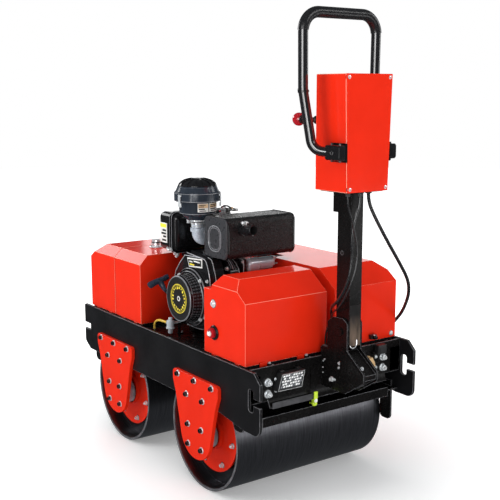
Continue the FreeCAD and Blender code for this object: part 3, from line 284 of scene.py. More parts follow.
ZINC = material("pin_steel", (0.80, 0.83, 0.87), 0.16, metal=0.45, shine=0.9, vary=0.2, vary_scale=60,
                grain=0.1)
# light grey for thin bars that paint highlights along edges
EDGE = material("edge_highlight_grey", (0.60, 0.62, 0.65), 0.30, metal=0.4, vary=0.3, vary_scale=50, grain=0.1)
LAMP = material("lamp_housing", (0.014, 0.014, 0.015), 0.35, grain=0.3, grain_scale=800)
KNOB = material("knob_red", (0.38, 0.004, 0.012), 0.14, coat=0.8, vary=0.06, grain=0.03)
GREEN = material("tap_green", (0.55, 0.75, 0.03), 0.32, vary=0.06, grain=0.1)
RUBBER = material("hose_rubber", (0.010, 0.010, 0.011), 0.26, vary=0.2, grain=0.35, grain_scale=900, dust=0.1)
SHEATH = material("cable_black", (0.010, 0.010, 0.011), 0.14, shine=0.8, grain=0.15, grain_scale=900)
YELLOW_HOSE = material("fuel_hose_yellow", (0.72, 0.46, 0.07), 0.24, coat=0.3, vary=0.12)
YELLOW = material("mark_yellow", (1.0, 0.80, 0.05), 0.35, vary=0.05)
BEIGE = material("mark_beige", (0.66, 0.46, 0.26), 0.4, vary=0.1)
WHITE = material("plate_white", (0.75, 0.75, 0.72), 0.4, vary=0.05)
# black for printed marks, and for painted shade in holes, bores and grooves
PRINT_AND_SHADE = material("print_and_shade_black", (0.004, 0.004, 0.004), 0.7, vary=0.1, grain=0.2)
FACE = material("face_grey", (0.036, 0.037, 0.041), 0.30, shine=0.4, vary=0.12, grain_scale=800, wear=0.2,
                worn=(0.14, 0.14, 0.15))
# rubber of the seam strip, tinted dark red-brown as painted shade of the red groove
SEAM_SHADE = material("seam_rubber_shade", (0.03, 0.003, 0.002), 0.6, vary=0.2, grain=0.2)
# grey for a painted sheen on the rear lip and painted highlights in the louvre slots
GREY_SHEEN = material("painted_grey_sheen", (0.055, 0.055, 0.06), 0.4, vary=0.35, vary_scale=30, grain=0.2)
# grey for thin rings and bars that paint highlights on rims, ledges, beads and flanges
RIM_HIGHLIGHT = material("rim_highlight_grey", (0.22, 0.225, 0.24), 0.22, metal=0.2, vary_scale=40)
HAMMERED = material("hammered_black", (0.006, 0.006, 0.0065), 0.28, shine=0.34, vary=0.3, grain=1.0,
                    grain_scale=240, grain_depth=0.003, stretch=(0.6, 1, 1.1))
BOLT_BLACK = material("bolt_black", (0.02, 0.02, 0.022), 0.22, metal=0.6, vary=0.2, grain=0.1, wear=0.6,
                      worn=(0.5, 0.5, 0.5))
HUB = material("hub_steel", (0.42, 0.44, 0.48), 0.16, metal=0.3, shine=0.9, vary=0.2, grain=0.03)
# lighter grey for the drum's edge rings, a painted highlight
DRUM_EDGE_HIGHLIGHT = material("drum_edge_highlight", (0.15, 0.15, 0.16), 0.3, metal=0.3, vary=0.4, vary_scale=30, grain=0.4)
LENS = material("lamp_lens", (0.05, 0.055, 0.06), 0.12, metal=0.3, vary=0.3, vary_scale=120, grain=0.3)
# white for the lamp's reflector cells, a painted reflection
CELL_REFLECTION = material("lamp_cell_reflection", (0.98, 0.99, 1.0), 0.15, shine=1.0, vary=0.3, vary_scale=220, grain=0.2)
GRIP = material("grip_foam", (0.008, 0.008, 0.009), 0.24, shine=0.6, vary=0.2, grain=0.4, grain_scale=700)
TUBE = material("tube_black", (0.006, 0.006, 0.007), 0.14, shine=0.9, coat=0.6, grain=0.03)
PLATE = material("plate_black", (0.008, 0.008, 0.009), 0.34, shine=0.14, vary=0.2, grain=0.06,
                 grain_scale=650)
BOWL = material("filter_bowl", (0.50, 0.54, 0.58), 0.18, metal=0.2, grain=0.1)
BRASS = material("brass", (0.72, 0.48, 0.24), 0.3, metal=0.3, shine=0.8, vary=0.2, vary_scale=60, grain=0.2)
FLOOR = material("studio_floor", (0.86, 0.86, 0.86), 0.75, vary=0.01, grain=0.02, grain_scale=60,
                 glow=(0.24, 1.0))

# ---- Mesh helpers ----

AXES = {
    "x": (Vector((0, 1, 0)), Vector((0, 0, 1)), Vector((1, 0, 0))),
    "y": (Vector((0, 0, 1)), Vector((1, 0, 0)), Vector((0, 1, 0))),
    "z": (Vector((1, 0, 0)), Vector((0, 1, 0)), Vector((0, 0, 1))),
}
HEADS = {
    # of each kind of screw head: its height as a share of its width, then its turned form, whose rows are
    # shares of the radius and of the height and, where it isn't round, a number of flats
    "hex": (0.5, [(1, 0, 6), (1, 0.82, 6), (0.93, 0.94), (0.82, 1)]),
    "socket": (0.62, [(0.95, 0), (0.95, 0.9), (0.85, 1), (0.52, 1, 6), (0.5, 0.45, 6), (0, 0.42)]),
    "pan": (0.3, [(1, 0), (0.97, 0.4), (0.75, 0.8), (0.36, 1), (0.3, 0.5, 6), (0, 0.45)]),
}


def basis(axis):
    """Two cross directions and the direction itself, for x, y, z, the same with a minus, or a vector."""
    if isinstance(axis, str):
        u, v, w = AXES[axis[-1]]
        return (v, u, -w) if axis[0] == "-" else (u, v, w)
    w = Vector(axis).normalized()
    u = w.orthogonal().normalized()
    return u, w.cross(u), w


class Piece:
    """The surfaces of one piece, in millimetres, each with its own material."""

    def __init__(self, name):
        self.name = name
        self.mesh = bmesh.new()
        self.materials = []

    def number(self, finish):
        """The finish's place among the piece's materials."""
        if finish not in self.materials:
            self.materials.append(finish)
        return self.materials.index(finish)

    def add(self, points, faces, finish):
        corners = [self.mesh.verts.new(point) for point in points]
        made = [self.mesh.faces.new([corners[i] for i in face]) for face in faces]
        for face in made:
            face.material_index = self.number(finish)
            face.smooth = True
        return corners, made

    def skin(self, rings, finish, closed=True):
        """Faces between neighbouring rings of points, and over both ends. A ring of one point is a tip."""
        points, numbered, faces = [], [], []
        for ring in rings:
            numbered.append(range(len(points), len(points) + len(ring)))
            points += ring
        for low, high in zip(numbered, numbered[1:]):
            count = max(len(low), len(high))
            for step in range(count if count > 1 else 0):
                after = (step + 1) % count
                if len(low) == 1:
                    faces.append((low[0], high[after], high[step]))
                elif len(high) == 1:
                    faces.append((low[step], low[after], high[0]))
                else:
                    faces.append((low[step], low[after], high[after], high[step]))
        if closed:
            faces += [tuple(end) for end in (numbered[0][::-1], numbered[-1]) if len(end) > 1]
        return self.add(points, faces, finish)

    def soften(self, corners, radius, steps):
        """Rounds the sharp edges between these corners."""
        if not radius:
            return
        for face in {face for corner in corners for face in corner.link_faces}:
            face.normal_update()
        chosen = set(corners)
        limit = math.radians(SOFTEN_ANGLE)
        edges = [e for v in corners for e in v.link_edges if all(x in chosen for x in e.verts)]
        edges = [e for e in set(edges) if len(e.link_faces) == 2 and e.calc_face_angle(0) > limit]
        bmesh.ops.bevel(self.mesh, geom=edges, offset=radius, segments=steps, profile=0.5, affect="EDGES",
                        clamp_overlap=True, material=-1)

    def turned(self, at, axis, profile, finish, sides, closed=True):
        """A turned form whose rows are a radius, a distance along the axis and perhaps a number of flats."""
        u, v, w = basis(axis)
        rings = []
        for radius, along, *flats in profile:
            middle = Vector(at) + w * along
            if radius == 0:
                rings.append([middle])
                continue
            ring = []
            for step in range(sides):
                turn = 2 * math.pi * step / sides
                reach = radius
                if flats:
                    half = math.pi / flats[0]
                    reach = radius * math.cos(half) / math.cos(turn % (2 * half) - half)
                ring.append(middle + (u * math.cos(turn) + v * math.sin(turn)) * reach)
            rings.append(ring)
        return self.skin(rings, finish, closed)[1]

    def ring(self, at, axis, profile, finish, sides):
        """A turned form that is open at both ends."""
        return self.turned(at, axis, profile, finish, sides, closed=False)

    def wrap(self, at, axis, radius, turns, span, finish, depth, steps):
        """A thin plate round a cylinder, between two turns in degrees and two heights along its axis."""
        u, v, w = basis(axis)
        points, faces = [], []
        for step in range(steps + 1):
            turn = math.radians(turns[0] + (turns[1] - turns[0]) * step / steps)
            out = u * math.cos(turn) + v * math.sin(turn)
            inner, outer = Vector(at) + out * (radius - 0.3), Vector(at) + out * (radius + depth)
            points += [inner + w * span[0], outer + w * span[0], outer + w * span[1], inner + w * span[1]]
        for step in range(steps):
            a, b = step * 4, step * 4 + 4
            faces += [(a + i, b + i, b + (i + 1) % 4, a + (i + 1) % 4) for i in range(4)]
        faces += [(0, 1, 2, 3), tuple(steps * 4 + i for i in (3, 2, 1, 0))]
        self.add(points, faces, finish)

    def press(self, faces, inset, depth, finish):
        """Sinks each of these faces on its own, by depth, inside a border."""
        bmesh.ops.inset_individual(self.mesh, faces=faces, thickness=inset, depth=-depth,
                                   use_even_offset=True)
        for face in faces:
            face.material_index = self.number(finish)

    def block(self, low, high, finish, radius, steps=2):
        """A block between two corners, with rounded edges."""
        outline = [(low[0], low[1]), (high[0], low[1]), (high[0], high[1]), (low[0], high[1])]
        corners, _ = self.skin([[(x, y, z) for x, y in outline] for z in (low[2], high[2])], finish)
        self.soften(corners, radius, steps)

    def slab(self, outline, axis, start, depth, finish, radius, steps=2, taper=0.0):
        """An outline in the axis's two cross directions, thickened from start by depth along the axis."""
        u, v, w = basis(axis)
        middle = Vector((sum(a for a, _ in outline), sum(b for _, b in outline))) / len(outline)
        rings = []
        for along, shrink in sorted(((start, 0.0), (start + depth, taper))):
            spots = [Vector(spot) + (middle - Vector(spot)).normalized() * shrink for spot in outline]
            rings.append([u * a + v * b + w * along for a, b in spots])
        corners, _ = self.skin(rings, finish)
        self.soften(corners, radius, steps)

    def pipe(self, line, radius, finish, sides, ends=True):
        """A round bar along a line of points; radius may be a list, one for each point."""
        line = [Vector(point) for point in line]
        ahead = [(b - a).normalized() for a, b in zip(line, line[1:])]
        tangents = [ahead[0]] + [(a + b).normalized() for a, b in zip(ahead, ahead[1:])] + [ahead[-1]]
        turns = [2 * math.pi * step / sides for step in range(sides)]
        across = tangents[0].orthogonal().normalized()
        rings = []
        for index, (spot, tangent) in enumerate(zip(line, tangents)):
            across = (across - tangent * across.dot(tangent)).normalized()
            other = tangent.cross(across)
            wide = radius[index] if isinstance(radius, list) else radius
            rings.append([spot + (across * math.cos(turn) + other * math.sin(turn)) * wide for turn in turns])
        self.skin(rings, finish, ends)

    def rim(self, line, radius, finish):
        """A thin round bar along a closed line."""
        self.pipe(line + line[:2], radius, finish, 8, ends=False)

    def bolt(self, at, axis, width, finish=ZINC, kind="hex", washer=True):
        """A screw's chamfered hexagon head, socket cap or domed head, on a washer with a dark rim."""
        r = width / 2
        up = 0.0
        if washer:
            up = width * 0.13
            self.ring(at, axis, [(r * 1.5, -0.4), (r * 1.5, 0.3), (r * 1.3, 0.5)], BOLT_BLACK, 20)
            rows = [(r * 1.3, -0.5), (r * 1.3, width * 0.09), (r * 1.2, up)]
            self.turned(at, axis, rows, finish, 20)
        tall, rows = HEADS[kind]
        rows = [(r * wide, up + width * tall * share, *flats) for wide, share, *flats in rows]
        self.turned(at, axis, rows, finish, 24)

    def make(self, body, slot=None, replaces=(), sharp=SHARP_ANGLE):
        """Turns what was gathered into an object in metres that rides on a body."""
        bmesh.ops.remove_doubles(self.mesh, verts=self.mesh.verts, dist=PIECE_GAP)
        bmesh.ops.scale(self.mesh, vec=(MM, MM, MM), verts=self.mesh.verts)
        data = bpy.data.meshes.new(self.name)
        self.mesh.to_mesh(data)
        self.mesh.free()
        for finish in self.materials:
            data.materials.append(finish)
        data.set_sharp_from_angle(angle=math.radians(sharp))
        made = placed(self.name, data)
        made.modifiers.new("weighted", "WEIGHTED_NORMAL").keep_sharp = True
        if body:
            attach(made, body)
        if replaces:
            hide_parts(*replaces)
        return made


def around(at, axis, radius, count, start):
    """Points evenly spaced on a circle; start is in degrees."""
    u, v, _ = basis(axis)
    turns = [math.radians(start + 360 * step / count) for step in range(count)]
    return [Vector(at) + (u * math.cos(turn) + v * math.sin(turn)) * radius for turn in turns]


def rounded(low, high, radius, steps=5):
    """The outline of a rectangle between two corners, with round corners."""
    outline = []
    for cx, cy, first in ((high[0] - radius, high[1] - radius, 0), (low[0] + radius, high[1] - radius, 90),
                          (low[0] + radius, low[1] + radius, 180), (high[0] - radius, low[1] + radius, 270)):
        turns = [math.radians(first + 90 * step / steps) for step in range(steps + 1)]
        outline += [(cx + radius * math.cos(turn), cy + radius * math.sin(turn)) for turn in turns]
    return outline


def swapped(outline):
    """The outline as the y axis wants it, z before x."""
    return [(z, x) for x, z in outline]


def shading_group():
    """Geometry nodes that shade a mesh smooth, except across edges sharper than an angle."""
    group = bpy.data.node_groups.new("smooth_by_angle", "GeometryNodeTree")
    group.interface.new_socket("Geometry", in_out="INPUT", socket_type="NodeSocketGeometry")
    group.interface.new_socket("Geometry", in_out="OUTPUT", socket_type="NodeSocketGeometry")
    add = group.nodes.new
    first, last = add("NodeGroupInput"), add("NodeGroupOutput")
    smooth, sharp = add("GeometryNodeSetShadeSmooth"), add("GeometryNodeSetShadeSmooth")
    smooth.domain, sharp.domain = "FACE", "EDGE"
    sharp.inputs["Shade Smooth"].default_value = False
    angle, over = add("GeometryNodeInputMeshEdgeAngle"), add("FunctionNodeCompare")
    over.operation = "GREATER_THAN"
    over.inputs[1].default_value = math.radians(SHARP_ANGLE)
    link = group.links.new
    link(first.outputs[0], smooth.inputs["Geometry"])
    link(smooth.outputs[0], sharp.inputs["Geometry"])
    link(angle.outputs["Unsigned Angle"], over.inputs[0])
    link(over.outputs[0], sharp.inputs["Selection"])
    link(sharp.outputs[0], last.inputs[0])
    return group


SHADING = shading_group()


def modify(node, name, kind, **values):
    made = node.modifiers.new(name, kind)
    for key, value in values.items():
        setattr(made, key, value)


def dress(names, finish, edge, highlight=None):
    """Gives CAD nodes a finish, and rounds their sharp edges by edge millimetres, perhaps painting a
    highlight on the rounded edges in a lighter finish.
    """
    for name in names:
        node = nodes[name]
        node.data.materials.clear()
        for paint in (finish, highlight) if highlight else (finish,):
            node.data.materials.append(paint)
        modify(node, "weld", "WELD", merge_threshold=MERGE_GAP)
        if edge:
            modify(node, "flat", "DECIMATE", decimate_type="DISSOLVE", angle_limit=math.radians(FLAT_ANGLE))
            modify(node, "edges", "BEVEL", width=edge * MM, segments=3, limit_method="ANGLE",
                   angle_limit=math.radians(EDGE_ANGLE), use_clamp_overlap=True, material=1 if highlight else -1)
        modify(node, "shade", "NODES", node_group=SHADING)
        if edge:
            modify(node, "weighted", "WEIGHTED_NORMAL", keep_sharp=True)


# ---- Hoses and cables ----

HOSES = [
    # name, diameter, finish, record slot, stiffness, body (none for those that run from the handle down to
    # the frame) and route
    ("drive_hose", 12, RUBBER, "hose_rubber", "stiff", None, [
        (66, -594, 1067), (66, -594, 1038), (80, -614, 986), (112, -639, 910), (160, -650, 834),
        (212, -642, 768), (252, -608, 711), (290, -556, 658), (326, -502, 612), (344, -462, 580),
        (347, -436, 555),
    ]),
    ("throttle_cable", 6, SHEATH, "cable_black", "medium", None, [
        (-58, -632, 1067), (-58, -632, 1036), (-44, -641, 984), (-25, -641, 920), (-21, -641, 854),
        (-42, -641, 788), (-58, -612, 716), (-44, -562, 680), (-24, -528, 664), (-12, -500, 625),
        (-12, -478, 578), (-12, -478, 535),
    ]),
    ("switch_loom", 10, SHEATH, "cable_black", "medium", None, [
        (-6, -633, 1067), (-6, -633, 1037), (-26, -631, 992), (-35, -629, 935), (-31, -628, 862),
        (-42, -626, 793), (-54, -600, 732), (-46, -553, 696), (-24, -518, 676), (-1, -500, 634),
        (3, -477, 580), (3, -477, 535),
    ]),
    ("fuel_hose", 9, YELLOW_HOSE, "fuel_hose_yellow", "medium", "chassis", [
        (-300, 92, 545), (-300, 118, 545), (-300, 146, 543.4), (-300, 168, 537.5), (-300, 180, 527),
        (-300, 185.5, 514.3), (-300, 185.5, 502),
    ]),
]


def spline_line(name, route):
    """The points, in metres, of the smooth spline that has the route as its control points."""
    curve = bpy.data.curves.new(name + "_route", "CURVE")
    curve.dimensions = "3D"
    spline = curve.splines.new("NURBS")
    spline.points.add(len(route) - 1)
    for point, spot in zip(spline.points, route):
        point.co = (*(value * MM for value in spot), 1)
    spline.order_u = 3
    spline.use_endpoint_u = True
    spline.resolution_u = 40
    holder = placed(name + "_route", curve)
    line = bpy.data.meshes.new_from_object(holder)
    found = [vertex.co.copy() for vertex in line.vertices]
    bpy.data.objects.remove(holder)
    bpy.data.meshes.remove(line)
    return found


def line_length(line):
    return sum((b - a).length for a, b in zip(line, line[1:]))


for name, diameter, finish, slot, stiffness, body, route in HOSES:
    line = spline_line(name, route)
    hose = Piece(name + "_tube")
    ridge = diameter * 0.04 if name == "drive_hose" else 0
    radii = [diameter / 2 - ridge * (step // 2 % 2) for step in range(len(line))]
    hose.pipe([spot / MM for spot in line], radii, finish, 16)
    tube = hose.make(body, slot, [name])
    if body is None:
        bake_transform(tube)
    [value * MM for value in route[0]]
    line_length(line)

# ---- CAD pieces that keep their shape ----

DRUM_SIDES = [f"{end}_{side}" for end, _, _ in DRUMS for side, _, _ in SIDES]

# the lighter finishes given as highlight paint highlights on the rounded edges
dress(["rear_left_cover", "rear_right_cover", "front_cover", "water_tank"], RED, 2.4, highlight=RED_FOLD_HIGHLIGHT)
dress(["control_box"], RED, 1.6, highlight=RED_FOLD_HIGHLIGHT)
dress(["control_box_lid"], RED, 1.0)
dress([f"{place}_drum_bracket" for place in DRUM_SIDES], RED, 1.6)
dress([f"{place}_drive_disc" for place in DRUM_SIDES], RED, 1.0)
dress([f"{place}_hub_motor" for place in DRUM_SIDES], GLOSS, 1.5)
dress(["front_drum", "rear_drum"], DRUM, 1.5)
dress(["left_side_plate", "right_side_plate"], PLATE, 1.0, highlight=BLACK_EDGE_HIGHLIGHT)
dress([f"{end}_{plate}" for end in ("front", "rear") for plate in ("cross_plate", "scraper")], BLACK, 1.0,
      highlight=BLACK_EDGE_HIGHLIGHT)
dress(["handle_bracket"], BLACK, 1.0, highlight=BLACK_EDGE_HIGHLIGHT)
dress(["handle_post"], BLACK, 1.5, highlight=BLACK_EDGE_HIGHLIGHT)
dress(["deck_plate"], BLACK, 1.0)
dress(["handle_loop"], TUBE, 0)
dress(["loop_mounts"], GLOSS, 2)
dress(["hose_elbow"], ZINC, 0.8)
dress(["handle_pivot_pin"], BLACK, 0.8)
dress(["box_glands", "frame_gland", "fuel_grommet"], RUBBER, 0.8)
dress(["tank_bracket"], GLOSS, 1.5)
dress(["hydraulic_pump"], IRON, 1)

# ---- Engine ----


def engine_block():
    part = Piece("engine")
    for y_from, y_to in ((-92, -52), (64, 104)):
        part.block((-196, y_from, 500), (86, y_to, 515), BLACK, 2)
        for x in (-186, 76):
            part.bolt((x, (y_from + y_to) / 2, 515), "z", 15)
    part.block((-176, -88, 515), (66, 100, 728), CAST, 14, 4)
    part.block((-178, -92, 556), (68, 104, 565), CAST, 3)
    part.block((-174, -90, 722), (64, 102, 735), CAST, 4)
    for step in range(7):
        x = -158 + step * 34
        for y_from, y_to in ((98, 104), (-92, -86)):
            part.block((x, y_from, 572), (x + 5, y_to, 716), CAST, 1.5)
    for x in range(-170, 66, 46):
        for y, axis in ((103.4, "y"), (-91.4, "-y")):
            part.bolt((x, y, 560.5), axis, 9, washer=False)
    # front covers, filler, pump and pipes
    part.slab(rounded((590, -120), (700, -20), 14), "y", 100, 9, GLOSS, 2)
    for z, x in ((600, -110), (600, -30), (690, -110), (690, -30), (645, -112), (645, -28)):
        part.bolt((x, 109, z), "y", 9)
    oil_cap = [(16, 0), (16, 12), (19, 13), (19, 24, 8), (15, 26), (0, 26)]
    part.turned((24, 100, 612), "y", oil_cap, YELLOW, 32)
    part.block((2, 100, 664), (44, 128, 716), ALUMINIUM, 4)
    part.turned((23, 114, 716), "z", [(10, 0), (10, 14), (7, 15), (7, 22, 6), (0, 23)], ZINC, 24)
    injector_pipe = [(23, 114, 736), (23, 116, 760), (16, 112, 800), (0, 96, 850), (-12, 80, 884),
                     (-22, 66, 906)]
    part.pipe(injector_pipe, 3, ZINC, 10)
    part.block((-150, 100, 640), (-128, 118, 700), ALUMINIUM, 3)
    part.pipe([(-139, 112, 700), (-139, 120, 724), (-128, 118, 742), (-108, 108, 748)], 3.5, SHEATH, 10)
    # barrel with its fins and bolts, head, rocker cover, injector
    part.ring((-62, 21, 730), "z", [(60, 0), (60, 8), (46, 9), (46, 112)], CAST, 40)
    for step in range(10):
        part.slab(rounded((-122, -33), (-2, 75), 22, 4), "z", 745 + step * 10, 2.6, CAST, 0.8, 1)
    for x in (-112, -12):
        for y in (-32, 74):
            part.bolt((x, y, 737), "z", 12)
    part.block((-144, -36, 846), (20, 78, 898), CAST, 6, 3)
    for z in (850, 859, 868, 877, 886):
        part.block((-146, -38, z), (22, 80, z + 3), CAST, 1)
    part.slab(rounded((-120, -26), (-4, 68), 16), "z", 896, 9, CAST, 2)
    part.slab(rounded((-114, -20), (-10, 62), 14), "z", 905, 20, GLOSS, 5, 3, 3)
    for x in (-92, -32):
        part.bolt((x, 21, 925), "z", 13)
    part.turned((-30, 52, 900), "z", [(9, 0), (9, 16), (6, 17), (6, 28, 6), (0, 29)], BRASS, 24)
    part.pipe([(-22, 66, 906), (-25, 60, 922), (-30, 52, 928)], 3, ZINC, 10)
    # throttle plate, spring and nuts beside the head, which show between the cleaner and the muffler
    part.slab([(905, -126), (905, -96), (976, -96), (982, -104), (970, -122)], "y", -2, 3, ZINC, 1)
    part.turned((-112, -2, 968), "-y", [(7, 0), (7, 6), (5, 7), (5, 12, 6), (0, 13)], CHROME, 24)
    stop_cable = [(-118, -4, 974), (-104, -6, 980), (-90, -6, 977), (-78, -8, 970), (-70, -8, 964)]
    part.pipe(stop_cable, 3, SHEATH, 8)
    part.turned((-74, -8, 968), "-y", [(5, 0), (5, 5, 6), (3, 6), (0, 8)], BRASS, 20)
    part.block((-130, -10, 958), (-122, -4, 964), KNOB, 1)
    spring = []
    for step in range(60):
        turn = step * 1.2
        spring.append((-98 + 10 * step / 12, -10 + 5 * math.cos(turn), 966 + 5 * math.sin(turn) - step * 0.1))
    part.pipe(spring, 1.6, BOLT_BLACK, 6)
    part.make("chassis", "engine_black", ["engine_block"])


def fan_shroud():
    part = Piece("shroud")
    outline = [(38, 818), (-80, 805), (-90, 799), (-100, 782), (-113, 750), (-120, 721), (-120, 581),
               (-86, 533), (94, 533), (132, 581), (132, 716), (123, 735), (96, 771), (60, 806)][::-1]
    inner = [(8 + (y - 8) * 0.965, 665 + (z - 665) * 0.975) for y, z in outline]
    part.slab(inner, "x", -241, 63, GLOSS, 9, 4)
    part.slab(outline, "x", -219, 4, GLOSS, 1.2)
    part.slab(outline, "x", -182, 4, GLOSS, 1.2)
    part.slab([(8 + (y - 8) * 0.99, 665 + (z - 665) * 0.99) for y, z in outline], "x", -219, 41, GLOSS, 2)
    # thin light grey bars along the edges of the pressed sheet, a painted highlight
    for x, line in (
        (-241, [(-80, 801), (-90, 793), (-98, 778), (-107, 755), (-113, 733), (-115, 700), (-114, 650)]),
        (-219, [(-68, 806), (-90, 800), (-101, 782), (-114, 750), (-121, 722), (-121, 690)]),
        (-241, [(54, 800), (92, 765), (121, 730), (128, 706)]),
    ):
        part.pipe([(x, y, z) for y, z in line], 1.3, EDGE, 8)
    # more bars of painted highlight along the sheet's foot and its top ledges
    part.pipe([(-241, y, z) for y, z in ((42, 540), (0, 538), (-40, 539), (-70, 543))], 1.6, RIM_HIGHLIGHT, 8)
    part.pipe([(-240, 40, 811), (-240, -76, 802)], 1.5, EDGE, 8)
    part.pipe([(-241.4, 55, 800), (-241.4, -66, 805)], 1.4, EDGE, 8)
    # blank plate
    part.slab([(-65, 768), (24, 761), (36, 794), (-64, 801)], "x", -243.2, 3, WHITE, 0.6)
    part.slab([(-60, 773), (21, 766), (30, 789), (-59, 796)], "x", -243.8, 1, PRINT_AND_SHADE, 0.3)
    for low, high, z, finish in ((-52, -10, 784, WHITE), (-2, 20, 780, WHITE), (-14, 18, 770, YELLOW)):
        part.slab([(low, z), (high, z), (high, z + 5), (low, z + 5)], "x", -244.1, 1, finish, 0.2)
    for y, z in ((-112, 590), (-76, 548), (86, 543), (120, 590), (122, 712)):
        part.bolt((-219, y, z), "-x", 11)
    for y, z in ((-96, 725), (72, 727), (42, 552), (-82, 589)):
        part.bolt((-240.6, y, z), "-x", 10)
    part.make("chassis", "engine_black", ["fan_shroud"])


def recoil():
    part = Piece("recoil")
    at = (RECOIL_X, CRANK_Y, CRANK_Z)
    # the disc's face and rim; the thin rings at the rim's two edges are lighter grey as a painted highlight
    for profile, finish in (
        ([(0, 1.4), (70, 1.4), (76, 0.2), (80, 0)], LAMP), ([(80, 0), (83, 0.4), (84.6, 2.4)], RIM_HIGHLIGHT),
        ([(84.6, 2.4), (85.4, 5), (86, 10.5)], GLOSS), ([(86, 10.5), (86, 12.5), (83, 13.2)], RIM_HIGHLIGHT),
    ):
        part.ring(at, "x", profile, finish, 72)
    # the louvred wall: slots in rows round it, their sunken floors grey as a painted highlight
    sides = 88
    wall = [(82 + 0.25 * (x - 14), x) for x in (14, 17, 25, 28, 36, 39, 47, 50)]
    faces = part.ring(at, "x", wall, GLOSS, sides)
    slots = [face for index, face in enumerate(faces) if index // sides % 2 == 1 and index % sides % 2 == 0]
    part.press(slots, 0.8, 4, GREY_SHEEN)
    # two raised rings round the wall, their edges lighter grey as a painted highlight
    for radius, near, far in ((97, 44, 50), (107, 50, 56)):
        part.ring(at, "x", [(88, near), (radius - 1.5, near)], GLOSS, 72)
        part.ring(at, "x", [(radius - 1.5, near), (radius, near + 1.5), (radius, far - 1)], RIM_HIGHLIGHT, 72)
    for spot in around((RECOIL_X + 50, CRANK_Y, CRANK_Z), "x", 101, 4, 45):
        part.bolt(spot, "-x", 11)
    rope_guide = [(11, 0), (11, 16), (9, 20), (9, 27), (7, 28), (4, 28)]
    part.turned((RECOIL_X + 28, CRANK_Y + 80, CRANK_Z), "y", rope_guide, GLOSS, 28)
    # ring of plain marks on the face
    for low, high in ((52, 54), (47.6, 48.4)):
        part.ring(at, "x", [(low, 1.6), (low, 0.8), (high, 0.8), (high, 1.6)], YELLOW, 72)
    for step in range(20):
        turn = 18 * step + 8
        inner, deep = ((35, 9), (38, 6), (40, 4), (37, 7))[step % 4]
        long = (4.2, 2.8, 5, 2.2, 4.6)[step % 5]
        part.wrap((RECOIL_X + 1.1, CRANK_Y, CRANK_Z), "x", inner, (turn - long, turn + long), (-0.35, 0.5),
                  YELLOW, deep, 3)
    part.ring(at, "x", [(0, 0.7), (9, 0.7), (10, 1.6)], WHITE, 32)
    part.ring(at, "x", [(0, 0.3), (5, 0.3), (6, 1.0)], PRINT_AND_SHADE, 32)
    part.make("chassis", "engine_black", ["recoil_starter"])

    grip = Piece("pull_grip")
    bar = [(-325, 182, 669), (-322, 182, 671), (-316, 182, 674), (-300, 181, 681), (-280, 180.5, 687),
           (-262, 180.5, 691), (-246, 181, 696), (-241, 181, 698), (-238, 181, 698)]
    grip.pipe(bar, [4, 11.5, 13.5, 12, 11, 10.5, 11, 10, 4], PLASTIC, 20)
    grip.pipe([(-278, 180, 686), (-273, 175, 675), (-270, 168, 664), (-270, 156, 655), (-272, 144, 652)],
              [13, 11.5, 9.5, 8, 6.5], PLASTIC, 18)
    grip.turned((-272, 128, 651), "y", [(4, 0), (9, 1), (9, 6), (6, 8), (6, 12), (4, 14)], RUBBER, 24)
    grip.pipe([(-272, 112, 651), (-272, 130, 651)], 3, RUBBER, 10)
    grip.make("chassis", "handle_plastic", ["pull_handle"])


